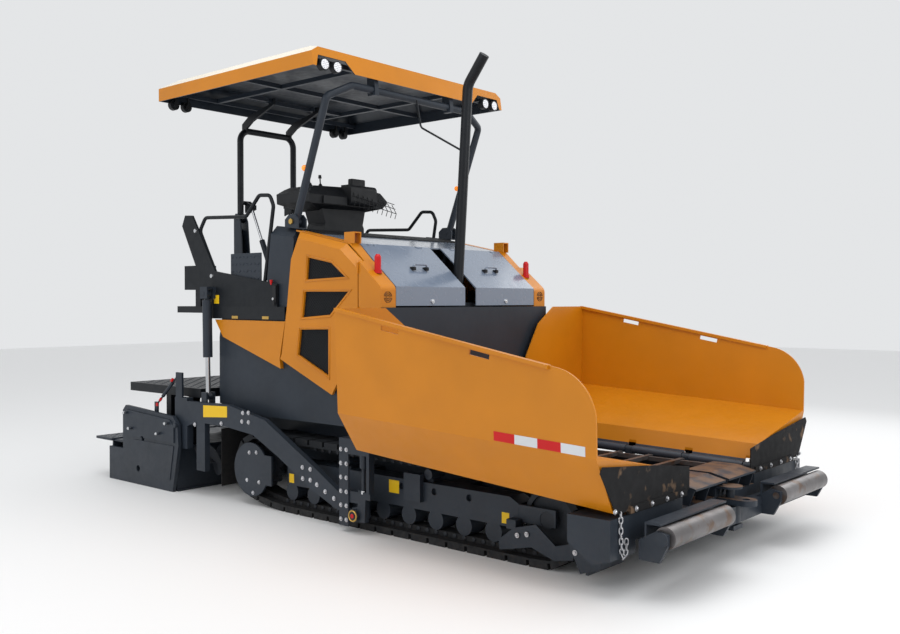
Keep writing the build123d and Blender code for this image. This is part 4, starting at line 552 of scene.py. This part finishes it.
def moved(tree, shape, lift):
    """A shape raised along its own axis by a socket's value."""
    up = add_node(tree, "ShaderNodeCombineXYZ", {"Z": lift})
    values = {"Geometry": shape, "Translation": up.outputs[0]}
    return add_node(tree, "GeometryNodeTransform", values).outputs[0]


ROUND_SIDES = 14
HEAD_TOP_SHARE = 0.62
HEAD_CONE_SHARE = 0.35
WASHER_RADIUS_SHARE = 1.5
WASHER_HEIGHT_SHARE = 0.4


def bolt_tree(name, sides, washer):
    """A bolt head with an eased top on every point, with or without a washer."""
    tree, source, sink = new_tree(name, [("Radius", "Float"), ("Height", "Float")])
    radius = source.outputs["Radius"]
    height = source.outputs["Height"]
    join = tree.nodes.new("GeometryNodeJoinGeometry")
    head = add_node(tree, "GeometryNodeMeshCylinder",
                    {"Vertices": sides, "Radius": radius, "Depth": height})
    half = calculate(tree, "MULTIPLY", height, 0.5)
    tree.links.new(moved(tree, head.outputs["Mesh"], half), join.inputs[0])
    top = add_node(tree, "GeometryNodeMeshCone",
                   {"Vertices": sides, "Radius Bottom": radius,
                    "Radius Top": calculate(tree, "MULTIPLY", radius, HEAD_TOP_SHARE),
                    "Depth": calculate(tree, "MULTIPLY", height, HEAD_CONE_SHARE)})
    tree.links.new(moved(tree, top.outputs["Mesh"], height), join.inputs[0])
    if washer:
        disc = add_node(tree, "GeometryNodeMeshCylinder",
                        {"Vertices": ROUND_SIDES,
                         "Radius": calculate(tree, "MULTIPLY", radius, WASHER_RADIUS_SHARE),
                         "Depth": calculate(tree, "MULTIPLY", height, WASHER_HEIGHT_SHARE)})
        tree.links.new(disc.outputs["Mesh"], join.inputs[0])
    scatter(tree, source, sink, join.outputs[0])
    return tree


def swept(tree, path, radius, sides):
    """A round bar along a curve."""
    circle = add_node(tree, "GeometryNodeCurvePrimitiveCircle", {"Resolution": sides, "Radius": radius})
    return add_node(tree, "GeometryNodeCurveToMesh", {"Curve": path, "Profile Curve": circle.outputs[0]})


def bar_tree():
    """A round bar along every edge path of the seed."""
    tree, source, sink = new_tree("bars", [("Radius", "Float"), ("Sides", "Int")])
    path = add_node(tree, "GeometryNodeMeshToCurve", {"Mesh": source.outputs["Geometry"]})
    sweep = swept(tree, path.outputs[0], source.outputs["Radius"], source.outputs["Sides"])
    sweep.inputs["Fill Caps"].default_value = True
    end_tree(tree, source, sink, sweep.outputs[0])
    return tree


def lug_tree():
    """A low raised lug of tread plate on every point."""
    sizes = (("Length", "X"), ("Width", "Y"), ("Height", "Z"))
    tree, source, sink = new_tree("tread_lugs", [(label, "Float") for label, _ in sizes])
    lug = add_node(tree, "GeometryNodeMeshCone",
                   {"Vertices": 6, "Radius Top": 0.6, "Radius Bottom": 1.0, "Depth": 1.0})
    size = add_node(tree, "ShaderNodeCombineXYZ", {axis: source.outputs[label] for label, axis in sizes})
    values = {"Geometry": lug.outputs["Mesh"], "Scale": size.outputs[0]}
    scatter(tree, source, sink, add_node(tree, "GeometryNodeTransform", values).outputs[0])
    return tree


HEX_BOLTS = bolt_tree("hex_bolts", 6, True)
ROUND_STUDS = bolt_tree("round_studs", ROUND_SIDES, False)
BARS = bar_tree()
LUGS = lug_tree()
print("trees:", len(bpy.data.node_groups))

# %% [markdown]
# The side doors of the engine bay have three vents each. On the real machine a pressed rim runs
# round every opening and a black diamond mesh lies behind it. The rim is a round bead half sunk
# in the sheet, and the mesh is two families of thin wires, cut off at the opening's own edges.

# %% Door vents
DOOR_FACE = 1110
VENTS = (
    [(-994, 2181), (-701, 2127), (-538, 2010), (-1013, 1994)],
    [(-1037, 1893), (-500, 1890), (-720, 1700), (-1068, 1674)],
    [(-1092, 1571), (-740, 1580), (-740, 1192), (-1125, 1356)],
)
MESH_MIDDLE = (-800, 1750)
MESH_LINES = 60
MESH_PITCH = 21.0
MESH_WIRE = 0.0021
MESH_DEPTH = 19.0
SHORTEST_WIRE = 6.0
RIM_OFFSET = 15.0
RIM_BEAD = 0.0075


def middle_of(corners):
    """The middle of an outline's corners."""
    return Vector((sum(c[0] for c in corners) / len(corners), sum(c[1] for c in corners) / len(corners)))


def clip_line(corners, origin, direction):
    """The stretch of a line that lies inside a convex outline, or None."""
    low = -math.inf
    high = math.inf
    middle = middle_of(corners)
    for i in range(len(corners)):
        a = corners[i]
        b = corners[(i + 1) % len(corners)]
        normal = (b[1] - a[1], a[0] - b[0])
        if (middle[0] - a[0]) * normal[0] + (middle[1] - a[1]) * normal[1] < 0:
            normal = (-normal[0], -normal[1])
        start = (origin[0] - a[0]) * normal[0] + (origin[1] - a[1]) * normal[1]
        rate = direction[0] * normal[0] + direction[1] * normal[1]
        if abs(rate) < 1e-9:
            if start < 0:
                return None
        elif rate > 0:
            low = max(low, -start / rate)
        else:
            high = min(high, -start / rate)
    if high - low < SHORTEST_WIRE:
        return None
    return [(origin[0] + direction[0] * t, origin[1] + direction[1] * t) for t in (low, high)]


def grown_outline(corners, offset):
    """An outline moved out from its middle by an offset, side by side."""
    middle = middle_of(corners)
    lines = []
    for i in range(len(corners)):
        a = Vector(corners[i])
        b = Vector(corners[(i + 1) % len(corners)])
        normal = Vector((b.y - a.y, a.x - b.x)).normalized()
        if normal.dot(middle - a) > 0:
            normal = -normal
        lines.append((a + normal * offset, b - a))
    out = []
    for i in range(len(lines)):
        p, d = lines[i - 1]
        q, e = lines[i]
        t = ((q - p).x * e.y - (q - p).y * e.x) / (d.x * e.y - d.y * e.x)
        out.append(p + d * t)
    return out


def vent_wires(side):
    """The wires of all three vents of one door."""
    paths = []
    for corners in VENTS:
        for slope in (1, -1):
            direction = (math.sqrt(0.5), slope * math.sqrt(0.5))
            for i in range(-MESH_LINES, MESH_LINES + 1):
                origin = (MESH_MIDDLE[0] + i * MESH_PITCH * math.sqrt(2), MESH_MIDDLE[1])
                stretch = clip_line(corners, origin, direction)
                if stretch:
                    paths.append([(x, side * (DOOR_FACE - MESH_DEPTH), z) for x, z in stretch])
    return paths


for side in SIDES:
    body = "side_door_" + SIDE_NAMES[side]
    grow("vent_mesh_" + SIDE_NAMES[side], edges_mesh(vent_wires(side)), BARS,
         {"Radius": MESH_WIRE, "Sides": 4}, PLASTIC, body)
    rims = [[(p.x, side * DOOR_FACE, p.y) for p in grown_outline(corners, RIM_OFFSET)]
            for corners in VENTS]
    grow("vent_rims_" + SIDE_NAMES[side], edges_mesh(rims, closed=True), BARS,
         {"Radius": RIM_BEAD, "Sides": 10}, ORANGE, body, smooth=True)
print("vents:", len(VENTS) * len(SIDES))

# %% [markdown]
# Bolts show all over the machine: along the clamp bars of the rubber aprons, on the guide post of
# the tow point, on the side arms, the track guards and the screed's end gates. Each list below
# holds the places of one family, and both sides of the machine share it.

# %% Bolts
ARM_FACE = 1246
ARM_BOLTS = [(-910, 436), (-812, 431), (-906, 343), (-812, 342), (-731, 314), (-630, 270), (-526, 229),
             (-1709, 826), (-1629, 833), (-1722, 749), (-1628, 750), (-2025, 706), (-2434, 662)]
APRON_BOLTS = [(2213, y, 534) for y in (1234, 1037, 840, 642)] + [(2199, 1462, 548)]
POST_FACE = 1311
POST_BOLTS = [(x, 100 + 110 * i) for i in range(6) for x in (-374, -312)]
GUARD_FACE = 1184
GUARD_BOLTS = [(1258, 206), (1339, 225), (-1735, 222), (-1565, 222), (-1650, 118), (-1700, 470),
               (-1600, 480)]
BEAM_END_FACE = 1291
BEAM_END_BOLTS = [(1920, 300), (1800, 200)]
GATE_FACE = 1331
GATE_PINS = [(-3414, 551), (-2921, 542), (-2774, 652), (-3499, 700)]
BOLT_TURN = 0.3
APRON_BOLT_TURN = 0.2


def side_spots(places, y, side):
    """Points on a face of one side, all facing outwards."""
    return [((x, side * y, z), (0, side, 0), BOLT_TURN) for x, z in places]


chassis_spots = []
arm_spots = []
for side in SIDES:
    for x, y, z in APRON_BOLTS:
        chassis_spots.append(((x, side * y, z), FORWARD, APRON_BOLT_TURN))
    chassis_spots += side_spots(POST_BOLTS, POST_FACE, side)
    chassis_spots += side_spots(GUARD_BOLTS, GUARD_FACE, side)
    chassis_spots += side_spots(BEAM_END_BOLTS, BEAM_END_FACE, side)
    arm_spots += side_spots(ARM_BOLTS, ARM_FACE, side)
    pins = [((x, side * GATE_FACE, z), (0, side, 0)) for x, z in GATE_PINS]
    grow("gate_pins_" + SIDE_NAMES[side], points_mesh(pins), ROUND_STUDS,
         {"Radius": 0.015, "Height": 0.022}, CHROME, "screed_extension_" + SIDE_NAMES[side])
grow("chassis_bolts", points_mesh(chassis_spots), HEX_BOLTS, {"Radius": 0.012, "Height": 0.009},
     ZINC, "chassis")
grow("arm_bolts", points_mesh(arm_spots), HEX_BOLTS, {"Radius": 0.013, "Height": 0.010}, ZINC,
     "screed")
print("bolts:", len(chassis_spots) + len(arm_spots))

# %% [markdown]
# Between the road pads and the frame, the round pin ends of the track's links show in a row. They
# stand on the outer face of the link rail, two to a pad, along the straight lower and upper runs.

# %% Track pins
LINK_FACE = 1068
PIN_PITCH = 91.0
PIN_COUNT = 31
FIRST_PIN_X = -1310
UPPER_RUN_X = -1000
TRACK_TOP = 640
PIN_HEIGHT = 77
link_spots = []
for side in SIDES:
    for i in range(PIN_COUNT):
        x = FIRST_PIN_X + i * PIN_PITCH
        link_spots.append(((x, side * LINK_FACE, PIN_HEIGHT), (0, side, 0)))
        if x > UPPER_RUN_X:
            link_spots.append(((x, side * LINK_FACE, TRACK_TOP - PIN_HEIGHT), (0, side, 0)))
grow("track_pins", points_mesh(link_spots), ROUND_STUDS, {"Radius": 0.017, "Height": 0.008},
     CAST_IRON, "chassis")
print("track pins:", len(link_spots))

# %% [markdown]
# The platform, the cover over the screed and the outer walkways are tread plate, so that boots
# hold on them. Lugs stand in rows and turn a quarter from one to the next. A panel of the same
# plate stands inside the rail on each side.

# %% Tread plate
LUG_PITCH = 62.0
LUG_SIZE = {"Length": 0.017, "Width": 0.0045, "Height": 0.004}
DECK_TOP = 1762
COVER_TOP = 985
WALKWAY_TOP = 410
WALKWAY_ENDS = (30, 1290)
PANEL_X = (-2090, -1650)
PANEL_Z = (1950, 2244)
PANEL_FACE = 1076
PANEL_THICK = 12
PANEL_FIRST_LUG = (30, 67)
PANEL_LUG_STEPS = (54, 64)
PANEL_LUG_COUNTS = (8, 4)


def lug_turn(i, k):
    """A lug's turn, which changes by a quarter from one place to the next."""
    return math.radians(45 if (i + k) % 2 else -45)


def lug_field(x0, x1, y0, y1, z):
    """Lug points over a flat rectangle that faces up."""
    spots = []
    columns = int((x1 - x0) / LUG_PITCH)
    rows = int((y1 - y0) / LUG_PITCH)
    for i in range(columns):
        for k in range(rows):
            place = (x0 + (i + 0.5) * (x1 - x0) / columns, y0 + (k + 0.5) * (y1 - y0) / rows, z)
            spots.append((place, UPWARD, lug_turn(i, k)))
    return spots


def grow_tread(name, spots, body):
    """A piece of lugs in the grey of the plate that they stand on."""
    grow(name, points_mesh(spots), LUGS, LUG_SIZE, GREY_PAINT, body)


def fill_panels(form):
    """The upright tread plate panels inside the rails."""
    add_pair(add_block, form, (PANEL_X[0], PANEL_FACE, PANEL_Z[0]),
             (PANEL_X[1], PANEL_FACE + PANEL_THICK, PANEL_Z[1]))


deck_lugs = lug_field(-2340, -1300, -1040, 1040, DECK_TOP) + lug_field(-2900, -2480, -900, 900, DECK_TOP)
for side in SIDES:
    for i in range(PANEL_LUG_COUNTS[0]):
        for k in range(PANEL_LUG_COUNTS[1]):
            place = (PANEL_X[0] + PANEL_FIRST_LUG[0] + i * PANEL_LUG_STEPS[0],
                     side * (PANEL_FACE + PANEL_THICK),
                     PANEL_Z[0] + PANEL_FIRST_LUG[1] + k * PANEL_LUG_STEPS[1])
            deck_lugs.append((place, (0, side, 0), lug_turn(i, k)))
grow_tread("deck_tread", deck_lugs, "chassis")
grow_tread("cover_tread", lug_field(-3680, -2500, -1130, 1130, COVER_TOP), "screed")
for side in SIDES:
    ends = sorted(side * end for end in WALKWAY_ENDS)
    grow_tread("walkway_tread_" + SIDE_NAMES[side], lug_field(-4110, -3830, *ends, WALKWAY_TOP),
               "screed_extension_" + SIDE_NAMES[side])
build("tread_panels", fill_panels, GREY_PAINT, "chassis")
print("lugs:", len(deck_lugs))

# %% [markdown]
# Work lamps hang in pairs at the canopy's corners. Each has a bezel, a slightly domed glass and a
# pattern of light cells. The glass is two short cones, and the cells are small studs.

# %% Lamps
LAMP_PLACES = [(-759, y, 3760, 1) for y in (-1125, -985, 985, 1125)]
LAMP_PLACES += [(-2971, y, 3715, -1) for y in (-1115, -975, 975, 1115)]
GLASS_STEPS = ((0, 5, 43, 41), (5, 9, 41, 30))
GLASS_SIDES = 24
BEZEL_DEPTH = 3
BEZEL_RADIUS = 46
BEZEL_WIRE = 5
CELL_DEPTH = 6.5
CELL_RINGS = ((1, 0.0), (6, 17.0), (10, 31.0))


def fill_glass(form):
    """The lamps' domed glasses."""
    for x, y, z, way in LAMP_PLACES:
        for start, end, wide, narrow in GLASS_STEPS:
            add_rod(form, (x + way * start, y, z), (x + way * end, y, z), wide, narrow, sides=GLASS_SIDES)


def fill_bezels(form):
    """The round bezels of the lamps."""
    for x, y, z, way in LAMP_PLACES:
        add_ring(form, (x + way * BEZEL_DEPTH, y, z), FORWARD, BEZEL_RADIUS, BEZEL_WIRE)


cells = []
for x, y, z, way in LAMP_PLACES:
    for count, reach in CELL_RINGS:
        for i in range(count):
            angle = 2 * math.pi * i / count
            place = (x + way * CELL_DEPTH, y + reach * math.cos(angle), z + reach * math.sin(angle))
            cells.append((place, (way, 0, 0)))
build("lamp_glass", fill_glass, LAMP_GLASS, "canopy")
build("lamp_bezels", fill_bezels, PLASTIC, "canopy", smooth=True)
grow("lamp_cells", points_mesh(cells), ROUND_STUDS, {"Radius": 0.0055, "Height": 0.0035}, ZINC,
     "canopy")
print("lamps:", len(LAMP_PLACES))

# %% [markdown]
# A strip of reflective tape runs along the crease of each hopper wing, in red and white lengths.
# It lies on the sheet above the crease, so its corners follow the wing's own slope. Plain yellow
# plates stand where the machine carries its notices, and they stay blank.

# %% Tape and plates
TAPE_STARTS = (1406, 1572, 1748, 1922, 2096)
TAPE_LIFT = (6, 66)
TAPE_GAP = 0.5
TAPE_THICK = 1.2
WING_LENGTH = 2180.0
CREASE_Y = 1630
CREASE_Z = 985
CREASE_FALL = 105
WING_LEAN = 0.0417
ARM_PLATE_Y = 1245
ARM_PLATE = [(-2300, 742), (-1940, 768), (-1940, 866), (-2300, 852)]
ARM_PLATE_THICK = 2.0
BLANK_PLATES = [(-1268, -1206, 245, 322, 1087), (-62, 46, 318, 418, 1087), (1052, 1118, 244, 322, 1087),
                (-2318, -2240, 1788, 1868, 1110)]
BLANK_THICK = 2


def crease(x, above):
    """Y and Z of a point on the wing's upper face, above the crease at x."""
    return CREASE_Y + WING_LEAN * above, CREASE_Z - CREASE_FALL * x / WING_LENGTH + above


def fill_tape(form, side, first):
    """Every second length of tape on one wing, from the first."""
    low, high = TAPE_LIFT
    for i in range(first, len(TAPE_STARTS) - 1, 2):
        start, end = TAPE_STARTS[i:i + 2]
        corners = []
        for x, above in ((start, low), (end, low), (end, high), (start, high)):
            y, z = crease(x, above)
            corners.append((x, side * (y + TAPE_GAP), z))
        add_plate(form, corners if side < 0 else corners[::-1], TAPE_THICK)


def fill_arm_plates(form):
    """The blank plates on the side arms."""
    for side in SIDES:
        corners = [(x, side * ARM_PLATE_Y, z) for x, z in ARM_PLATE]
        add_plate(form, corners if side < 0 else corners[::-1], ARM_PLATE_THICK)


def fill_chassis_plates(form):
    """The blank plates on the track frames and the guards."""
    for x0, x1, z0, z1, y in BLANK_PLATES:
        add_pair(add_block, form, (x0, y, z0), (x1, y + BLANK_THICK, z1), bevel=0.5)


for side in SIDES:
    for first, label, paint in ((0, "red", RED), (1, "white", WHITE)):
        build("tape_" + label + "_" + SIDE_NAMES[side], lambda form: fill_tape(form, side, first), paint,
              "hopper_wing_" + SIDE_NAMES[side])
build("arm_plates", fill_arm_plates, YELLOW, "screed")
build("blank_plates", fill_chassis_plates, YELLOW, "chassis")
print("tape lengths:", len(TAPE_STARTS) - 1)

# %% [markdown]
# A short chain hangs from each end of the front beam beside the apron. Its links are bent from
# round wire, and each stands across the one before. The tree walks along a sagging path, sets a
# link at every pitch and turns every second one by a right angle.

# %% Chains
CHAIN_PATH = [(2201, 1400, 520), (2203, 1402, 430), (2204, 1400, 340), (2204, 1388, 268),
              (2204, 1362, 252), (2204, 1340, 295), (2200, 1332, 345)]
CHAIN_SIZE = {"Pitch": 0.030, "Wire": 0.0042}
LINK_LENGTH_SHARE = 1.35
LINK_WIDTH_SHARE = 0.75
LINK_BEND_SHARE = 0.37


def chain_tree():
    """Links of bent wire along every edge path of the seed."""
    tree, source, sink = new_tree("chain_links", [("Pitch", "Float"), ("Wire", "Float")])
    pitch = source.outputs["Pitch"]
    path = add_node(tree, "GeometryNodeMeshToCurve", {"Mesh": source.outputs["Geometry"]})
    spots = add_node(tree, "GeometryNodeCurveToPoints", {"Curve": path.outputs[0], "Length": pitch},
                     mode="LENGTH")
    outline = add_node(tree, "GeometryNodeCurvePrimitiveQuadrilateral",
                       {"Width": calculate(tree, "MULTIPLY", pitch, LINK_LENGTH_SHARE),
                        "Height": calculate(tree, "MULTIPLY", pitch, LINK_WIDTH_SHARE)})
    round_off = add_node(tree, "GeometryNodeFilletCurve",
                         {"Curve": outline.outputs[0], "Count": 3,
                          "Radius": calculate(tree, "MULTIPLY", pitch, LINK_BEND_SHARE)}, mode="POLY")
    sweep = swept(tree, round_off.outputs[0], source.outputs["Wire"], 8)
    stand = add_node(tree, "GeometryNodeTransform",
                     {"Geometry": sweep.outputs[0], "Rotation": (0.0, math.pi / 2, 0.0)})
    index = tree.nodes.new("GeometryNodeInputIndex")
    odd = calculate(tree, "MODULO", index.outputs[0], 2.0)
    rotation = turned(tree, spots.outputs["Rotation"], calculate(tree, "MULTIPLY", odd, math.pi / 2))
    end_tree(tree, source, sink, on_points(tree, spots.outputs["Points"], stand.outputs[0], rotation))
    return tree


chain_paths = [[(x, side * y, z) for x, y, z in CHAIN_PATH] for side in SIDES]
grow("end_chains", edges_mesh(chain_paths), chain_tree(), CHAIN_SIZE, ZINC, "chassis",
     smooth=True)
print("chains:", len(chain_paths))

# %% [markdown]
# The engine hood opens in two lids. Each has black blocks at the ends of its grab handle and a
# lock in its front face. Broken rings mark the horns in the front corners, where two red posts
# stand, and a band of ribs crosses the hood in front of the console.

# %% Hood fittings
HOOD_FRONT = -130
HOOD_CREASE = (-540, 2290)
HOOD_FALL = 365 / 410
HOOD_REAR = (-1285, 2440)
TOP_FALL = 150 / 725
HANDLE_X = (-322, -272)
HANDLE_ENDS = (400, 560)
HANDLE_HALF = 16
HANDLE_TOP = 2100
LOCK = (500, 1811)
LOCK_STEPS = ((-3, 8, 22, 19), (8, 12, 10, 8))
HORN_PLACES = [(-1029, 1845), (1029, 1855)]
HORN_RADII = (14, 28, 42)
HORN_BEAD = 3.6
HORN_ARC = 74
POST = (-272, 1000)
POST_STEPS = ((2035, 2062, 34, 34), (2062, 2170, 27, 27), (2170, 2190, 27, 14))
BAND = (-1262, -1030)
BAND_HALF = 930
RIB_COUNT = 9
RIB_WIDTH = 13
RIB_THICK = 12


def hood_height(x):
    """The hood's top line in front of its crease."""
    return HOOD_CREASE[1] - (x - HOOD_CREASE[0]) * HOOD_FALL


def top_height(x):
    """The fixed hood's top line behind its crease."""
    return HOOD_REAR[1] - (x - HOOD_REAR[0]) * TOP_FALL


def fill_lid_blocks(form, side):
    """The end blocks of one lid's handle."""
    foot = hood_height(-300) - 6
    for y in HANDLE_ENDS:
        add_block(form, (HANDLE_X[0], side * (y - HANDLE_HALF), foot),
                  (HANDLE_X[1], side * (y + HANDLE_HALF), HANDLE_TOP), 4)


def fill_lock(form, side):
    """The round lock of one lid."""
    y, z = LOCK
    for start, end, wide, narrow in LOCK_STEPS:
        add_rod(form, (HOOD_FRONT + start, side * y, z), (HOOD_FRONT + end, side * y, z), wide, narrow)


def fill_horns(form):
    """Broken rings around each horn."""
    for y, z in HORN_PLACES:
        for radius in HORN_RADII:
            for start in range(8, 368, 90):
                add_ring(form, (HOOD_FRONT, y, z), FORWARD, radius, HORN_BEAD,
                         (start, start + HORN_ARC), steps=8, sides=6)


def fill_posts(form):
    """The two corner posts."""
    for low, high, wide, narrow in POST_STEPS:
        add_pair(add_rod, form, (*POST, low), (*POST, high), wide, narrow)


def fill_band(form):
    """The ribs across the hood."""
    for i in range(RIB_COUNT):
        x0 = BAND[0] + (BAND[1] - BAND[0]) * i / RIB_COUNT
        x1 = x0 + RIB_WIDTH
        corners = [(x, y, top_height(x) - 1) for x, y in ((x0, -BAND_HALF), (x1, -BAND_HALF),
                                                          (x1, BAND_HALF), (x0, BAND_HALF))]
        add_plate(form, corners, RIB_THICK)


for side in SIDES:
    body = "hood_lid_" + SIDE_NAMES[side]
    build("lid_blocks_" + SIDE_NAMES[side], lambda form: fill_lid_blocks(form, side), PLASTIC, body)
    build("lid_lock_" + SIDE_NAMES[side], lambda form: fill_lock(form, side), CHROME, body)
build("horn_slots", fill_horns, PLASTIC, "chassis")
build("corner_posts", fill_posts, RED, "chassis")
build("hood_ribs", fill_band, PLASTIC, "chassis")
print("hood top at the console:", round(top_height(BAND[0])), "mm")

# %% [markdown]
# Near the tow point, a bright ring and a red hub mark the roller. The side guard has knobs and a
# latch, the platform edge has brass flap hinges, and the screed's brace has red grips.

# %% Side fittings
TOW_ROLLER = (-225, 145)
FLAP_HINGES = (-2000, -1560)
KNOBS = ((-2605, 2479), (-2348, 2046))


def fill_brass(form):
    """The tow roller's ring, the flap hinges on the platform's edge and the clevis bolt."""
    x, z = TOW_ROLLER
    for side in SIDES:
        add_ring(form, (x, side * 1326, z), (0, 1, 0), 40, 7)
    for hinge in FLAP_HINGES:
        add_pair(add_block, form, (hinge - 45, 1110, 1652), (hinge + 45, 1113, 1678), 1)
    add_pair(add_rod, form, (-1258, 1066, 2500), (-1258, 1078, 2500), 26, sides=6)


def fill_red_marks(form):
    """The tow roller's hub and a knob on the guard."""
    x, z = TOW_ROLLER
    add_pair(add_rod, form, (x, 1328, z), (x, 1334, z), 17)
    add_pair(add_rod, form, (-1482, 1108, 1955), (-1482, 1108, 1998), 9, 15)


def fill_latches(form):
    """The latch of each side guard."""
    add_pair(add_block, form, (-1452, 1109, 1800), (-1405, 1124, 1950), 3)
    add_pair(add_block, form, (-1440, 1120, 1770), (-1418, 1130, 1815), 3)


def fill_chrome(form):
    """The latch's button, the guard's knobs and a stud on the guide post."""
    add_pair(add_rod, form, (-1428, 1122, 1832), (-1428, 1136, 1832), 15, 12)
    for x, z in KNOBS:
        add_pair(add_rod, form, (x, 1108, z), (x, 1122, z), 22, 18)
    add_pair(add_rod, form, (-150, 1280, 320), (-150, 1280, 345), 20)


def fill_red_grips(form):
    """The grips on the screed's brace and a red block beside them."""
    add_pair(add_rod, form, (-2790, 1248, 1068), (-2810, 1248, 1047), 13)
    add_pair(add_rod, form, (-2990, 1248, 868), (-3010, 1248, 848), 13)
    add_pair(add_block, form, (-3072, 1246, 790), (-3040, 1256, 822), 2)


build("brass_fittings", fill_brass, BRASS, "chassis")
build("red_marks", fill_red_marks, RED, "chassis")
build("guard_latches", fill_latches, PLASTIC, "chassis")
build("bright_knobs", fill_chrome, CHROME, "chassis")
build("brace_grips", fill_red_grips, RED, "screed")
print("side fittings on both sides:", len(SIDES))

# %% [markdown]
# The operator steers from the console. A wire basket guards its front, and its board carries a
# small screen box, two short levers in boots and rows of buttons.

# %% Console
CONSOLE_TOP = 2885
BASKET_WIRE = {"Radius": 0.0035, "Sides": 6}
BASKET_Y = -300
BASKET_STEP = 60
BASKET_COUNT = 10
BASKET_FALL = 0.16
BASKET_ROWS = (0, 45, 90)
LEVER_PLACES = (-560, -430)
BUTTON_ROWS = range(-360, -140, 36)
BUTTON_STEP = 32


def basket_z(z, y):
    """A height on the basket, which falls towards the left."""
    return z - BASKET_FALL * (y - BASKET_Y)


def fill_levers(form):
    """The levers with their boots and grips, and the screen box."""
    for y in LEVER_PLACES:
        add_rod(form, (-1600, y, CONSOLE_TOP - 22), (-1600, y, CONSOLE_TOP + 22), 34, 12)
        add_rod(form, (-1600, y, CONSOLE_TOP + 20), (-1606, y, CONSOLE_TOP + 80), 6)
        add_rod(form, (-1606, y, CONSOLE_TOP + 75), (-1608, y, CONSOLE_TOP + 105), 17, 13)
    add_block(form, (-1560, -120, CONSOLE_TOP - 8), (-1500, 60, CONSOLE_TOP + 95), 8)
    add_block(form, (-1566, -110, CONSOLE_TOP + 8), (-1560, 50, CONSOLE_TOP + 86), 2)


basket = []
for i in range(BASKET_COUNT):
    y = BASKET_Y + i * BASKET_STEP
    basket.append([(-1290 if y < 0 else -1322, y, basket_z(2830, y)), (-1262, y, basket_z(2740, y)),
                   (-1282, y, basket_z(2690, y))])
for lift in BASKET_ROWS:
    basket.append([(-1262 - lift * 0.3, y, basket_z(2740 + lift, y)) for y in (-300, -100, 100, 240)])
grow("console_basket", edges_mesh(basket), BARS, BASKET_WIRE, PLASTIC, "chassis")
buttons = [((-1700 + BUTTON_STEP * k, y, CONSOLE_TOP - 2), UPWARD) for k in range(3) for y in BUTTON_ROWS]
build("console_controls", fill_levers, PLASTIC, "chassis")
grow("console_buttons", points_mesh(buttons), ROUND_STUDS, {"Radius": 0.010, "Height": 0.006}, ZINC,
     "chassis")
print("buttons:", len(buttons))

# %% [markdown]
# The canopy lifts off by four eyes that are welded half sunk in its skin.

# %% Lifting eyes
EYE_PLACES = [(x, side * 1000, 3944) for side in SIDES for x in (-1111, -2830)]
EYE_RADIUS = 20
EYE_WIRE = 5


def fill_eyes(form):
    """A ring at each place."""
    for place in EYE_PLACES:
        add_ring(form, place, (0, 1, 0), EYE_RADIUS, EYE_WIRE)


build("lifting_eyes", fill_eyes, ZINC, "canopy", smooth=True)
print("lifting eyes:", len(EYE_PLACES))

# %% [markdown]
# The seat is foam under vinyl. Foam bulges between its seams and its sides pull in, so each pad is
# a closed form with a crown and sewn channels. It could be blown up as cloth. Here the points of a
# fine box move by a smooth rule instead, which is quick and gives the same mesh on every run.

# %% Seat
SEAT_PADS = [
    ((-2330, 670, 2062), (248, 238, 58), 0.0),
    ((-2632, 670, 2368), (268, 228, 38), math.radians(-83.4)),
]
PAD_STEPS = 26
SEAM_PLACES = (-0.36, 0.36)
SEAM_WIDTH = 0.035
SEAM_DEPTH = 0.16
SIDE_PULL = 0.035
CORNER_PULL = 0.05
CROWN = 0.20
EDGE_DROP = 0.30
EDGE_START = 0.72
TOP_FACE = 0.99


def pad_point(u, v, w):
    """A point of a pad in its own half sizes, from a point of a box between -1 and 1."""
    past_edge = max(0.0, max(abs(u), abs(v)) - EDGE_START) / (1.0 - EDGE_START)
    pull = 1.0 - SIDE_PULL * (1.0 - abs(w)) * (1.0 - min(abs(u), abs(v)) ** 2)
    flat = (1.0 - CROWN) * (1.0 - EDGE_DROP * past_edge ** 2)
    height = w * (flat + CROWN * (1.0 - u * u) * (1.0 - v * v))
    if w > TOP_FACE:
        for seam in SEAM_PLACES:
            height -= SEAM_DEPTH * math.exp(-((v - seam) / SEAM_WIDTH) ** 2) * (1.0 - u ** 8)
    corner = 1.0 - CORNER_PULL * (u * u * v * v) ** 2
    return u * pull * corner, v * pull * corner, height


def fill_seat(form):
    """Both pads, each from its own fine box."""
    for centre, half, tilt in SEAT_PADS:
        pad = bmesh.new()
        bmesh.ops.create_cube(pad, size=2.0)
        bmesh.ops.subdivide_edges(pad, edges=pad.edges[:], cuts=PAD_STEPS, use_grid_fill=True)
        turn = Matrix.Rotation(tilt, 3, "Y")
        for corner in pad.verts:
            local = Vector([p * h / PER_METRE for p, h in zip(pad_point(*corner.co), half)])
            corner.co = at(*centre) + turn @ local
        pad_mesh = bpy.data.meshes.new("pad")
        pad.to_mesh(pad_mesh)
        pad.free()
        form.from_mesh(pad_mesh)


seat = build("seat_padding", fill_seat, VINYL, "chassis", smooth=True)
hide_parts("seat_cushion")
print("seat pads:", len(SEAT_PADS))
